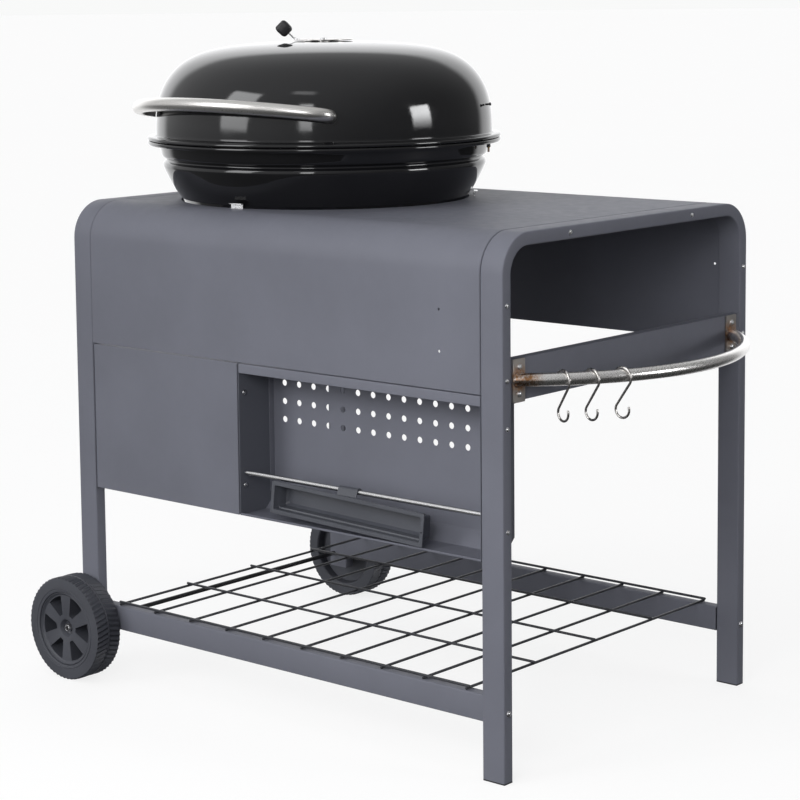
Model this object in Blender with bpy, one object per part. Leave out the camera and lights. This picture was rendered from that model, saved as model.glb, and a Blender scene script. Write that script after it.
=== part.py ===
"""Kettle charcoal grill on a sheet-steel trolley, modelled as separate pieces.

Metres, +Z up. The origin is on the floor under the middle of the bounding box.
+X is the end with the towel rail and -Y is the front. The wheels are at -X.
"""

import math

import bmesh
import bpy
from mathutils import Matrix, Vector

# Trolley
FRAME_LENGTH = 0.900
FRAME_DEPTH = 0.636
TABLE_HEIGHT = 0.796
TUBE_WIDTH = 0.040
TUBE_DEPTH = 0.020
TUBE_WALL = 0.0015
TUBE_EDGE = 0.0015
CORNER_RADIUS = 0.060
SHEET = 0.0012
GAP = 0.0003
RAIL_REACH = 0.1374
RAIL_TUBE = 0.0095
AXLE_INSET = 0.010
WHEEL_RADIUS = 0.086

# The bounding box runs from the wheels to the outside of the towel rail.
LEFT_X = -(FRAME_LENGTH + RAIL_REACH + RAIL_TUBE + AXLE_INSET - WHEEL_RADIUS) / 2
RIGHT_X = LEFT_X + FRAME_LENGTH
FRONT_Y = -FRAME_DEPTH / 2
REAR_Y = FRAME_DEPTH / 2
INNER_LEFT_X = LEFT_X + TUBE_WIDTH
INNER_RIGHT_X = RIGHT_X - TUBE_WIDTH

# Lower rails and shelf
LOWER_RAIL_BOTTOM = 0.0865
LOWER_RAIL_TOP = 0.1265
LOWER_RAIL_SETBACK = 0.002
WIRE_RADIUS = 0.0021
CROSS_WIRES = 10
CROSS_WIRE_START = 0.088
CROSS_WIRE_PITCH = 0.082
LONG_WIRES = 5
LONG_WIRE_PITCH = 0.155

# Skirt, panel and recess
SKIRT_BOTTOM = 0.5637
HOLE_RADIUS = 0.2405
HOOD_HOLES = ((0.2985, FRONT_Y, 0.6818), (0.2985, FRONT_Y, 0.6204), (0.3550, REAR_Y, 0.6910))
HOOD_HOLE_RADIUS = 0.0021
PANEL_BOTTOM = 0.3220
PANEL_RIGHT = 0.3765
RECESS_DEPTH = 0.078
RECESS_LIP = 0.0148
RECESS_CHAMFER = 0.022
RECESS_FLOOR_LIP = 0.004
HOLE_COLUMNS = 13
HOLE_PITCH = 0.0309
HOLE_FIRST_X = 0.4028
HOLE_ROWS = (0.5248, 0.4955, 0.4666)
HOLE_SIZE = 0.005

# Utensil rod and tray
ROD_RADIUS = 0.004
ROD_Y = FRONT_Y + 0.010
ROD_Z = 0.3895
TRAY_LENGTH = 0.308
TRAY_HEIGHT = 0.050
TRAY_DEPTH = 0.030
TRAY_CENTRE_X = LEFT_X + 0.6003
TRAY_LEAN = math.radians(5.0)
TRAY_SLOPE = math.radians(1.7)

# Kettle
KETTLE_X = LEFT_X + 0.2795
KETTLE_Y = -0.006
SHELL = 0.0015
KETTLE_STEPS = 24
BOWL_PATH = (
    (0.0360, 0.6910), (0.0950, 0.6980), (0.1420, 0.7130), (0.1780, 0.7320),
    (0.2040, 0.7530), (0.2230, 0.7750), (0.2362, 0.7960), (0.2475, 0.8060),
    (0.2580, 0.8265), (0.2672, 0.8490), (0.2690, 0.8560), (0.2632, 0.8640),
    (0.2695, 0.8710), (0.2730, 0.8860), (0.2770, 0.8940), (0.2890, 0.8950),
    (0.2930, 0.8915),
)
LID_PATH = (
    (0.0000, 1.0555), (0.0600, 1.0545), (0.1200, 1.0510), (0.1720, 1.0455),
    (0.2080, 1.0370), (0.2360, 1.0210), (0.2560, 1.0010), (0.2685, 0.9780),
    (0.2755, 0.9540), (0.2785, 0.9300), (0.2790, 0.9065), (0.2812, 0.9022),
    (0.2900, 0.9010), (0.2932, 0.8974),
)
VENT_HOLE_CIRCLE = 0.026
VENT_HOLE = 0.010
VENTS = 4
DAMPER_RADIUS = 0.050
DAMPER_Z = 1.0568
KNOB_DIRECTION = math.radians(220.5)
HANDLE_ARC = 0.3005
HANDLE_SHIFT = 0.0094
HANDLE_HALF_ANGLE = math.radians(45.4)
HANDLE_TUBE = 0.0110
HANDLE_Z = 0.943
HANDLE_TILT = math.radians(9.7)
HINGE_Y = KETTLE_Y + 0.306
HINGE_Z = 0.9060
HINGE_PIN = 0.0029
LID_SOCKET_RADIUS = 0.2787

# Under the bowl
SWEEP_Z = 0.6935
SWEEP_SHEET = 0.0014
LEVER_Z = 0.6565
LEVER_LENGTH = 0.155
VENT_PLATE_Z = 0.6880
PAN_Z = 0.6420
PAN_RADIUS = 0.1050
PAN_DEPTH = 0.0350
HANGER_TOP = 0.7003

# Grates: ring radius, height, ring wire radius, number of bars, bar radius
CHARCOAL_GRATE = (0.2050, 0.7640, 0.0030, 7, 0.0030)
COOKING_GRATE = (0.2625, 0.8700, 0.0028, 11, 0.0022)

# Towel rail and its hooks
RAIL_Z = 0.5870
RAIL_HALF_CHORD = 0.279
RAIL_RADIUS = (RAIL_HALF_CHORD**2 + RAIL_REACH**2) / (2 * RAIL_REACH)
RAIL_CENTRE_X = RIGHT_X + RAIL_REACH - RAIL_RADIUS
RAIL_CENTRE_Y = -0.009
RAIL_END_ANGLE = math.asin(RAIL_HALF_CHORD / RAIL_RADIUS)
PLATE_THICKNESS = 0.0030
HOOK_WIRE = 0.0018
HOOK_LENGTH = 0.0770
HOOK_UPPER = 0.0152
HOOK_LOWER = 0.0120
HOOK_CLEARANCE = 0.0010
HOOK_SPOTS = (-0.242, -0.209, -0.168)
HOOK_YAW = math.radians(25.0)

# Wheels and axle
WHEEL_WIDTH = 0.0495
WHEEL_FACE_Y = FRAME_DEPTH / 2 + 0.0525
AXLE_RADIUS = 0.0040
AXLE_X = LEFT_X + AXLE_INSET

STEEL = (0.62, 0.61, 0.60)
PAINT = (0.150, 0.155, 0.190)
ENAMEL = (0.012, 0.012, 0.014)
BLACK_PLASTIC = (0.050, 0.050, 0.058)


def clear_scene():
    for obj in list(bpy.data.objects):
        bpy.data.objects.remove(obj)


def make_material(name, colour, roughness, metallic):
    material = bpy.data.materials.new(name)
    material.use_nodes = True
    shader = material.node_tree.nodes["Principled BSDF"]
    shader.inputs["Base Color"].default_value = (*colour, 1.0)
    shader.inputs["Roughness"].default_value = roughness
    shader.inputs["Metallic"].default_value = metallic
    material.diffuse_color = (*colour, 1.0)
    return material


def finish_mesh(name, shape, material, origin=(0, 0, 0), smooth=None):
    """Turn a bmesh in world coordinates into an object whose origin is where asked."""
    bmesh.ops.remove_doubles(shape, verts=shape.verts, dist=1e-6)
    bmesh.ops.recalc_face_normals(shape, faces=shape.faces)
    shape.transform(Matrix.Translation(-Vector(origin)))
    mesh = bpy.data.meshes.new(name)
    shape.to_mesh(mesh)
    shape.free()
    mesh.materials.append(material)
    if smooth is not None:
        mesh.shade_smooth()
        mesh.set_sharp_from_angle(angle=math.radians(smooth))
    obj = bpy.data.objects.new(name, mesh)
    obj.location = origin
    bpy.context.scene.collection.objects.link(obj)
    return obj


def as_helper(obj):
    obj.hide_render = True
    obj.display_type = "WIRE"
    return obj


def boolean(obj, other, operation):
    modifier = obj.modifiers.new(operation.title(), "BOOLEAN")
    modifier.operation = operation
    modifier.object = as_helper(other)
    modifier.solver = "EXACT"


def ring(shape, points):
    return [shape.verts.new(point) for point in points]


def join_rings(shape, first, second):
    count = len(first)
    for i in range(count):
        j = (i + 1) % count
        shape.faces.new((first[i], first[j], second[j], second[i]))


def loft(shape, sections, capped=True):
    """Skin a list of closed loops that all have the same number of points."""
    rings = [ring(shape, section) for section in sections]
    for first, second in zip(rings, rings[1:]):
        join_rings(shape, first, second)
    if capped:
        shape.faces.new(rings[0])
        shape.faces.new(reversed(rings[-1]))
    return rings


def hollow_loft(shape, outer_sections, inner_sections):
    """Skin an open-ended tube: an outside, an inside and a rim at each end."""
    outer = loft(shape, outer_sections, capped=False)
    inner = loft(shape, inner_sections, capped=False)
    join_rings(shape, outer[0], inner[0])
    join_rings(shape, outer[-1], inner[-1])


def add_box(shape, low, high):
    corners = [(low[0], low[1]), (high[0], low[1]), (high[0], high[1]), (low[0], high[1])]
    loft(shape, [[(x, y, z) for x, y in corners] for z in (low[2], high[2])])


def box(name, low, high, material, origin=(0, 0, 0)):
    shape = bmesh.new()
    add_box(shape, low, high)
    return finish_mesh(name, shape, material, origin)


def add_rod(shape, start, end, radius, sides, turn=0.0):
    """A prism with round cross-section from start to end."""
    start = Vector(start)
    end = Vector(end)
    axis = (end - start).normalized()
    side = axis.orthogonal().normalized()
    up = axis.cross(side)
    angles = [math.tau * i / sides + turn for i in range(sides)]
    circle = [(side * math.cos(a) + up * math.sin(a)) * radius for a in angles]
    loft(shape, [[end_point + offset for offset in circle] for end_point in (start, end)])


def rod(name, start, end, radius, sides, material, origin=(0, 0, 0), smooth=40):
    shape = bmesh.new()
    add_rod(shape, start, end, radius, sides)
    return finish_mesh(name, shape, material, origin, smooth)


def turned(name, loop, centre, steps, material, axis="Z", origin=(0, 0, 0), smooth=35):
    """Spin a closed loop of (radius, height) points about an axis through centre."""
    shape = bmesh.new()
    points = [Vector((radius, 0.0, height)) for radius, height in loop]
    verts = [shape.verts.new(point) for point in points]
    edges = []
    for i, vert in enumerate(verts):
        following = verts[(i + 1) % len(verts)]
        if vert.co.x > 1e-9 or following.co.x > 1e-9:
            edges.append(shape.edges.new((vert, following)))
    bmesh.ops.spin(
        shape, geom=verts + edges, cent=(0, 0, 0), axis=(0, 0, 1),
        angle=math.tau, steps=steps, use_merge=False,
    )
    bmesh.ops.remove_doubles(shape, verts=shape.verts, dist=1e-6)
    loose = [vert for vert in shape.verts if not vert.link_faces]
    bmesh.ops.delete(shape, geom=loose, context="VERTS")
    if axis == "Y":
        shape.transform(Matrix.Rotation(math.radians(90.0), 4, "X"))
    shape.transform(Matrix.Translation(Vector(centre)))
    return finish_mesh(name, shape, material, origin, smooth)


def shell_loop(path, thickness):
    """The closed outline of a sheet of the given thickness along a path of (radius, height)."""
    points = [Vector(point) for point in path]
    left = []
    right = []
    for i, point in enumerate(points):
        before = points[max(i - 1, 0)]
        after = points[min(i + 1, len(points) - 1)]
        tangent = (after - before).normalized()
        normal = Vector((-tangent.y, tangent.x))
        if point.x < 1e-9:
            normal = Vector((0.0, math.copysign(1.0, normal.y)))
        left.append(point + normal * thickness / 2)
        right.append(point - normal * thickness / 2)
    return [tuple(p) for p in left + right[::-1]]


def wire(name, points, radius, material, resolution=1, origin=(0, 0, 0)):
    """A round bar along a smooth list of points."""
    curve = bpy.data.curves.new(name, "CURVE")
    curve.dimensions = "3D"
    curve.bevel_depth = radius
    curve.bevel_resolution = resolution
    curve.use_fill_caps = True
    spline = curve.splines.new("POLY")
    spline.points.add(len(points) - 1)
    for target, point in zip(spline.points, points):
        target.co = (*(Vector(point) - Vector(origin)), 1.0)
    curve.materials.append(material)
    obj = bpy.data.objects.new(name, curve)
    obj.location = origin
    bpy.context.scene.collection.objects.link(obj)
    return obj


def chamfered_rectangle(width, depth, inset, cut):
    """Outline of a tube wall as (across, inward) points, with its edges broken."""
    low = inset
    right = width - inset
    deep = depth - inset
    if cut == 0:
        return [(low, low), (right, low), (right, deep), (low, deep)]
    return [
        (low + cut, low), (right - cut, low), (right, low + cut), (right, deep - cut),
        (right - cut, deep), (low + cut, deep), (low, deep - cut), (low, low + cut),
    ]


def end_profile_stations(bottom, radius=CORNER_RADIUS, bend_steps=6):
    """Points of the inverted U, each with its inward direction, as (y, z, ny, nz)."""
    stations = [(FRONT_Y, bottom, 1.0, 0.0)]
    for i in range(bend_steps + 1):
        angle = math.pi - math.pi / 2 * i / bend_steps
        y = FRONT_Y + radius + radius * math.cos(angle)
        z = TABLE_HEIGHT - radius + radius * math.sin(angle)
        stations.append((y, z, -math.cos(angle), -math.sin(angle)))
    stations += [(-y, z, -ny, nz) for y, z, ny, nz in reversed(stations)]
    return stations


def along_u(outline, stations, left):
    return [
        [(left + across, y + inward * ny, z + inward * nz) for across, inward in outline]
        for y, z, ny, nz in stations
    ]


def end_frame(name, left, bottom, material):
    """Bent rectangular tube: two legs and the end of the table in one piece."""
    shape = bmesh.new()
    stations = end_profile_stations(bottom)
    outside = chamfered_rectangle(TUBE_WIDTH, TUBE_DEPTH, 0.0, TUBE_EDGE)
    inside = chamfered_rectangle(TUBE_WIDTH, TUBE_DEPTH, TUBE_WALL, TUBE_EDGE / 3)
    hollow_loft(shape, along_u(outside, stations, left), along_u(inside, stations, left))
    return finish_mesh(name, shape, material, smooth=30)


def axle_hole_cutter(material):
    shape = bmesh.new()
    radius = AXLE_RADIUS + 0.0005
    for low, high in ((FRONT_Y - 0.005, FRONT_Y + 0.025), (REAR_Y - 0.025, REAR_Y + 0.005)):
        add_rod(shape, (AXLE_X, low, WHEEL_RADIUS), (AXLE_X, high, WHEEL_RADIUS), radius, 12)
    return finish_mesh("axle_hole_cutter", shape, material)


def foot_plug(name, y, material):
    """Plastic plug in the open end of a leg, with a thin sole that meets the floor."""
    shape = bmesh.new()
    edge = 0.0004
    add_box(
        shape,
        (INNER_RIGHT_X + edge, y + edge, 0.0),
        (RIGHT_X - edge, y + TUBE_DEPTH - edge, 0.0020),
    )
    plug = finish_mesh(name, shape, material)
    body = bmesh.new()
    wall = TUBE_WALL + 0.0005
    add_box(
        body,
        (INNER_RIGHT_X + wall, y + wall, 0.0010),
        (RIGHT_X - wall, y + TUBE_DEPTH - wall, 0.0180),
    )
    boolean(plug, finish_mesh(name + "_body", body, material), "UNION")
    return plug


def lower_rail(name, y, material):
    shape = bmesh.new()
    low = LOWER_RAIL_BOTTOM
    height = LOWER_RAIL_TOP - LOWER_RAIL_BOTTOM
    outside = chamfered_rectangle(height, TUBE_DEPTH, 0.0, TUBE_EDGE)
    inside = chamfered_rectangle(height, TUBE_DEPTH, TUBE_WALL, TUBE_EDGE / 3)
    ends = (INNER_LEFT_X + GAP, INNER_RIGHT_X - GAP)
    hollow_loft(
        shape,
        [[(x, y + inward, low + up) for up, inward in outside] for x in ends],
        [[(x, y + inward, low + up) for up, inward in inside] for x in ends],
    )
    return finish_mesh(name, shape, material)


def wire_shelf(material):
    """Welded wire mat: cross wires lie on the lower rails and long wires on top of them."""
    cross = bmesh.new()
    along = bmesh.new()
    cross_z = LOWER_RAIL_TOP + GAP + WIRE_RADIUS
    along_z = cross_z + WIRE_RADIUS * 1.5
    first = LEFT_X + CROSS_WIRE_START
    last = first + CROSS_WIRE_PITCH * (CROSS_WIRES - 1)
    for i in range(CROSS_WIRES):
        x = first + CROSS_WIRE_PITCH * i
        add_rod(cross, (x, FRONT_Y + 0.004, cross_z), (x, REAR_Y - 0.004, cross_z), WIRE_RADIUS, 6)
    for i in range(LONG_WIRES):
        y = LONG_WIRE_PITCH * (i - (LONG_WIRES - 1) / 2)
        add_rod(along, (first - 0.005, y, along_z), (last + 0.005, y, along_z), WIRE_RADIUS, 6)
    shelf = finish_mesh("wire_shelf", cross, material)
    boolean(shelf, finish_mesh("wire_shelf_long_wires", along, material), "UNION")
    return shelf


def hood_panel(material):
    """One bent sheet: table top, front and rear skirts, and a flange against the right frame."""
    shape = bmesh.new()
    flange = 0.014
    width = INNER_RIGHT_X - INNER_LEFT_X - 2 * GAP
    outline = [
        (0.0, 0.0), (width, 0.0), (width, flange), (width - SHEET, flange),
        (width - SHEET, SHEET), (0.0, SHEET),
    ]
    stations = end_profile_stations(SKIRT_BOTTOM)
    loft(shape, along_u(outline, stations, INNER_LEFT_X + GAP))
    panel = finish_mesh("hood_panel", shape, material, smooth=30)
    cutter = bmesh.new()
    low = (KETTLE_X, KETTLE_Y, TABLE_HEIGHT - 0.02)
    high = (KETTLE_X, KETTLE_Y, TABLE_HEIGHT + 0.02)
    add_rod(cutter, low, high, HOLE_RADIUS, 48)
    for x, y, z in HOOD_HOLES:
        add_rod(cutter, (x, y - 0.005, z), (x, y + 0.005, z), HOOD_HOLE_RADIUS, 12)
    boolean(panel, finish_mesh("hood_hole_cutter", cutter, material), "DIFFERENCE")
    return panel


def left_front_panel(material):
    """Shallow folded pan between the left leg and the recess."""
    left = INNER_LEFT_X + 0.0030
    right = LEFT_X + PANEL_RIGHT - 0.0030
    top = SKIRT_BOTTOM - 0.0007
    corner = (right, FRONT_Y + 0.018, top)
    pan = box("left_front_panel", (left, FRONT_Y, PANEL_BOTTOM), corner, material)
    low = (left + SHEET, FRONT_Y + SHEET, PANEL_BOTTOM + SHEET)
    high = (right - SHEET, FRONT_Y + 0.030, top - SHEET)
    boolean(pan, box("left_front_panel_hollow", low, high, material), "DIFFERENCE")
    return pan


def recess_outline(offset):
    """Side view of the recess, as (y, z) from the front lip round to the floor lip."""
    front = FRONT_Y
    back = FRONT_Y + RECESS_DEPTH - offset
    top = SKIRT_BOTTOM - 0.0007 - offset
    floor = PANEL_BOTTOM + offset
    cut = RECESS_CHAMFER - offset * 0.4
    return [(front, top), (back, top), (back, floor + cut), (back - cut, floor), (front, floor)]


def recess_shell(material):
    """Back, top and floor of the recess, folded from one perforated sheet."""
    shape = bmesh.new()
    outside = recess_outline(0.0)
    inside = recess_outline(SHEET)
    top = outside[0][1]
    floor = outside[-1][1]
    lip = [
        (FRONT_Y, floor + RECESS_FLOOR_LIP), (FRONT_Y + SHEET, floor + RECESS_FLOOR_LIP),
        (FRONT_Y + SHEET, floor + SHEET),
    ]
    edge = [
        (FRONT_Y + SHEET, top - SHEET), (FRONT_Y + SHEET, top - RECESS_LIP),
        (FRONT_Y, top - RECESS_LIP),
    ]
    outline = outside + lip + inside[1:-1][::-1] + edge
    ends = (LEFT_X + PANEL_RIGHT + 0.0016, INNER_RIGHT_X - 0.0016)
    loft(shape, [[(x, y, z) for y, z in outline] for x in ends])
    shell = finish_mesh("recess_shell", shape, material)
    cutter = bmesh.new()
    back = FRONT_Y + RECESS_DEPTH
    for z in HOLE_ROWS:
        for i in range(HOLE_COLUMNS):
            x = LEFT_X + HOLE_FIRST_X + HOLE_PITCH * i
            add_rod(cutter, (x, back - 0.006, z), (x, back + 0.006, z), HOLE_SIZE, 6)
    boolean(shell, finish_mesh("perforation_cutter", cutter, material), "DIFFERENCE")
    return shell


def recess_wall(name, x, material):
    shape = bmesh.new()
    outline = recess_outline(0.0)
    loft(shape, [[(x + offset, y, z) for y, z in outline] for offset in (0.0, SHEET)])
    return finish_mesh(name, shape, material)


def recess_screw(name, wall_x, direction, z, material):
    """Round-head screw in a side wall of the recess; direction points into the recess."""
    y = FRONT_Y + 0.0100
    head = 0.0022
    start = wall_x + direction * GAP
    return rod(name, (start, y, z), (start + direction * head, y, z), 0.0042, 8, material)


def tray_matrix():
    lean = Matrix.Rotation(-TRAY_LEAN, 4, "X")
    slope = Matrix.Rotation(TRAY_SLOPE, 4, "Y")
    return Matrix.Translation((TRAY_CENTRE_X, ROD_Y, ROD_Z)) @ lean @ slope


def tray_section(half_x, low, high, y):
    return [(-half_x, y, low), (half_x, y, low), (half_x, y, high), (-half_x, y, high)]


def utensil_tray(material, origin):
    """Moulded tray: a flat rim, a tapering pocket behind it, one wall thickness throughout."""
    rim = 0.0065
    wall = 0.0016
    half = TRAY_LENGTH / 2
    high = -0.0085
    low = high - TRAY_HEIGHT
    face = -0.0085
    back = face + TRAY_DEPTH
    outside = [
        tray_section(half, low, high, face),
        tray_section(half, low, high, face + 0.0022),
        tray_section(half - rim + wall, low + rim - wall, high - rim + wall, face + 0.0022),
        tray_section(half - rim - 0.004, low + rim + 0.006, high - rim, back),
    ]
    inside = [
        tray_section(half - rim, low + rim, high - rim, face),
        tray_section(
            half - rim - wall - 0.004, low + rim + wall + 0.006, high - rim - wall, back - wall,
        ),
    ]
    shape = bmesh.new()
    outer = loft(shape, outside, capped=False)
    inner = loft(shape, inside, capped=False)
    join_rings(shape, outer[0], inner[0])
    shape.faces.new(outer[-1])
    shape.faces.new(inner[-1])
    shape.transform(tray_matrix())
    return finish_mesh("utensil_tray", shape, material, origin)


def tray_clip(material, origin):
    """Saddle that wraps over the rod and runs down in front of the tray's upper rim."""
    inner = ROD_RADIUS + 0.0004
    outer = inner + 0.0014
    half = 0.0195
    steps = 8
    arc = [math.pi * i / steps for i in range(steps + 1)]
    outside = [(math.cos(a) * outer, math.sin(a) * outer) for a in arc]
    inside = [(math.cos(a) * inner, math.sin(a) * inner) for a in reversed(arc)]
    front_low = -0.0070
    front_face = -outer - 0.0032
    outline = (
        [(outer, -0.0045)] + outside
        + [(front_face, front_low), (-inner - 0.0032, front_low)]
        + inside + [(inner, -0.0045)]
    )
    shape = bmesh.new()
    loft(shape, [[(x, y, z) for y, z in outline] for x in (-half, half)])
    shape.transform(Matrix.Translation((TRAY_CENTRE_X, ROD_Y, ROD_Z)))
    return finish_mesh("tray_clip", shape, material, origin)


def cross_panel(material):
    """Folded channel between the legs at the rail end; it carries the towel rail."""
    low = 0.5560
    high = 0.6165
    depth = 0.018
    outer = RIGHT_X - 0.0005
    outline = [
        (outer, low), (outer, high), (outer - depth, high), (outer - depth, high - SHEET),
        (outer - SHEET, high - SHEET), (outer - SHEET, low + SHEET),
        (outer - depth / 2, low + SHEET), (outer - depth / 2, low),
    ]
    ends = (FRONT_Y + TUBE_DEPTH + GAP, REAR_Y - TUBE_DEPTH - GAP)
    shape = bmesh.new()
    loft(shape, [[(x, y, z) for x, z in outline] for y in ends])
    return finish_mesh("right_cross_panel", shape, material)


def rail_point(angle):
    """A point of the rail's centre line; angle 0 is the middle of the bow."""
    return Vector((
        RAIL_CENTRE_X + RAIL_RADIUS * math.cos(angle),
        RAIL_CENTRE_Y + RAIL_RADIUS * math.sin(angle),
        RAIL_Z,
    ))


def towel_rail(material):
    """Bowed tube, its ends cut to lie flat on the two mounting plates."""
    steps = 24
    sides = 8
    wall = 0.0012
    plate_face = RIGHT_X + PLATE_THICKNESS + GAP
    sections = {RAIL_TUBE: [], RAIL_TUBE - wall: []}
    for radius, loops in sections.items():
        for i in range(steps + 1):
            angle = RAIL_END_ANGLE * (2 * i / steps - 1)
            centre = rail_point(angle)
            outward = Vector((math.cos(angle), math.sin(angle), 0.0))
            tangent = Vector((-math.sin(angle), math.cos(angle), 0.0))
            loop = []
            for k in range(sides):
                turn = math.tau * k / sides
                point = centre + outward * radius * math.cos(turn)
                point.z += radius * math.sin(turn)
                if i in (0, steps):
                    point += tangent * (plate_face - point.x) / tangent.x
                loop.append(point)
            loops.append(loop)
    shape = bmesh.new()
    hollow_loft(shape, *sections.values())
    return finish_mesh("towel_rail", shape, material, smooth=40)


def rail_plate(name, y, material):
    width = 0.028
    height = 0.063
    low = (RIGHT_X - 0.0002, y - width / 2, RAIL_Z - 0.0015 - height / 2)
    high = (RIGHT_X + PLATE_THICKNESS, y + width / 2, RAIL_Z - 0.0015 + height / 2)
    return box(name, low, high, material)


def s_hook_path():
    """Flat S in the local XZ plane, upper loop centred on the origin."""
    drop = HOOK_LENGTH - HOOK_UPPER - HOOK_LOWER - 2 * HOOK_WIRE
    points = []
    for i in range(9):
        angle = math.radians(200.0 - 225.0 * i / 8)
        points.append((HOOK_UPPER * math.cos(angle), HOOK_UPPER * math.sin(angle)))
    for i in range(8):
        angle = math.radians(155.0 + 230.0 * i / 7)
        points.append((HOOK_LOWER * math.cos(angle), HOOK_LOWER * math.sin(angle) - drop))
    return points


def s_hook(name, angle, material):
    """Hook hung over the rail, turned a little from square to it."""
    centre = rail_point(angle)
    inner = HOOK_UPPER - HOOK_WIRE
    drop = inner - RAIL_TUBE - HOOK_CLEARANCE
    spin = Matrix.Rotation(angle + HOOK_YAW, 4, "Z")
    points = []
    for across, up in s_hook_path():
        points.append(centre + spin @ Vector((across, 0.0, up - drop)))
    return wire(name, points, HOOK_WIRE, material, 1, centre)


def wheel(name, outer_face, direction, material):
    """Moulded wheel on a Y axis; direction is +1 when the wheel's inside faces +Y."""
    width = WHEEL_WIDTH
    rim_inner = 0.0600
    web_face = 0.0060
    web_back = 0.0340
    hub = 0.0150
    bore = 0.0044
    hub_recess = 0.0120
    shoulder = 0.0030
    loop = [
        (bore, hub_recess), (0.0095, hub_recess), (0.0105, web_face - 0.002), (hub, web_face),
        (rim_inner - 0.003, web_face), (rim_inner, 0.0015),
        (WHEEL_RADIUS - shoulder, 0.0), (WHEEL_RADIUS, shoulder),
        (WHEEL_RADIUS, width - shoulder), (WHEEL_RADIUS - shoulder, width),
        (rim_inner, width), (rim_inner - 0.003, web_back), (hub, web_back), (hub - 0.002, width),
        (bore, width),
    ]
    loop = [(radius, -height * direction) for radius, height in loop]
    centre = (AXLE_X, outer_face, WHEEL_RADIUS)
    body = turned(name, loop, centre, 32, material, axis="Y", origin=centre, smooth=30)
    cutter = bmesh.new()
    for i in range(6):
        middle = math.tau * i / 6
        half = math.radians(17.0)
        corners = [(0.0220, -half), (0.0540, -half), (0.0560, 0.0), (0.0540, half), (0.0220, half)]
        flat = [(r * math.cos(middle + a), r * math.sin(middle + a)) for r, a in corners]
        loft(cutter, [
            [(centre[0] + u, outer_face + direction * d, WHEEL_RADIUS + v) for u, v in flat]
            for d in (-0.005, 0.0300)
        ])
    boolean(body, finish_mesh(name + "_window_cutter", cutter, material), "DIFFERENCE")
    return body


def on_kettle(angle, radius, z):
    """Point on the kettle; angle 0 faces the front and grows towards +X."""
    return Vector((KETTLE_X + radius * math.sin(angle), KETTLE_Y - radius * math.cos(angle), z))


def bowl(material):
    centre = (KETTLE_X, KETTLE_Y, 0.0)
    return turned("bowl", shell_loop(BOWL_PATH, SHELL), centre, KETTLE_STEPS, material)


def lid(material, origin):
    centre = (KETTLE_X, KETTLE_Y, 0.0)
    shell = turned("lid", shell_loop(LID_PATH, SHELL), centre, KETTLE_STEPS, material, origin=origin)
    cutter = vent_cutter("lid_vent_cutter", 0.0, 1.0450, 1.0650, material)
    boolean(shell, cutter, "DIFFERENCE")
    return shell


def vent_cutter(name, turn, low, high, material):
    """Ring of round vent holes and the hole for the middle rivet."""
    shape = bmesh.new()
    for i in range(VENTS):
        x, y, _ = on_kettle(turn + math.tau * i / VENTS, VENT_HOLE_CIRCLE, 0.0)
        add_rod(shape, (x, y, low), (x, y, high), VENT_HOLE, 10)
    add_rod(shape, (KETTLE_X, KETTLE_Y, low), (KETTLE_X, KETTLE_Y, high), 0.0033, 8)
    return finish_mesh(name, shape, material)


def top_damper(material, origin):
    centre = (KETTLE_X, KETTLE_Y, 0.0)
    disc_loop = [
        (0.0, DAMPER_Z), (DAMPER_RADIUS, DAMPER_Z),
        (DAMPER_RADIUS, DAMPER_Z + 0.0012), (0.0, DAMPER_Z + 0.0012),
    ]
    disc = turned("top_damper", disc_loop, centre, KETTLE_STEPS, material, origin=origin)
    cutter = vent_cutter("damper_vent_cutter", math.radians(45.0), 1.0500, 1.0650, material)
    boolean(disc, cutter, "DIFFERENCE")
    return disc


def damper_rivet(material, origin):
    centre = (KETTLE_X, KETTLE_Y, 0.0)
    top = DAMPER_Z + 0.0012 + GAP
    loop = [(0.0, 1.0530), (0.0029, 1.0530), (0.0029, top), (0.0062, top),
            (0.0045, top + 0.0020), (0.0, top + 0.0026)]
    return turned("damper_rivet", loop, centre, 12, material, origin=origin)


def damper_knob(material, origin):
    """Grip on a short slanting stem at the edge of the damper disc."""
    outward = Vector((math.cos(KNOB_DIRECTION), math.sin(KNOB_DIRECTION), 0.0))
    middle = Vector((KETTLE_X, KETTLE_Y, 0.0))
    rise = Vector((0.0, 0.0, 1.0))
    slant = (outward + rise).normalized()
    foot = middle + outward * 0.0490 + rise * (DAMPER_Z + 0.0012 + GAP)
    shape = bmesh.new()
    add_rod(shape, foot + rise * 0.0020, foot + rise * 0.0020 + slant * 0.0200, 0.0022, 8)
    knob = finish_mesh("damper_knob", shape, material, origin, 40)
    grip = bmesh.new()
    start = foot + rise * 0.0020 + slant * 0.0130
    radii = ((0.0, 0.0090), (0.0035, 0.0130), (0.0165, 0.0130), (0.0210, 0.0100))
    side = slant.orthogonal().normalized()
    up = slant.cross(side)
    sections = []
    for distance, radius in radii:
        angles = [math.tau * k / 8 for k in range(8)]
        sections.append([
            start + slant * distance + (side * math.cos(a) + up * math.sin(a)) * radius
            for a in angles
        ])
    loft(grip, sections)
    boolean(knob, finish_mesh("damper_knob_grip", grip, material, origin), "UNION")
    base = bmesh.new()
    add_rod(base, foot, foot + rise * 0.0035, 0.0045, 8)
    boolean(knob, finish_mesh("damper_knob_base", base, material, origin), "UNION")
    return knob


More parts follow.
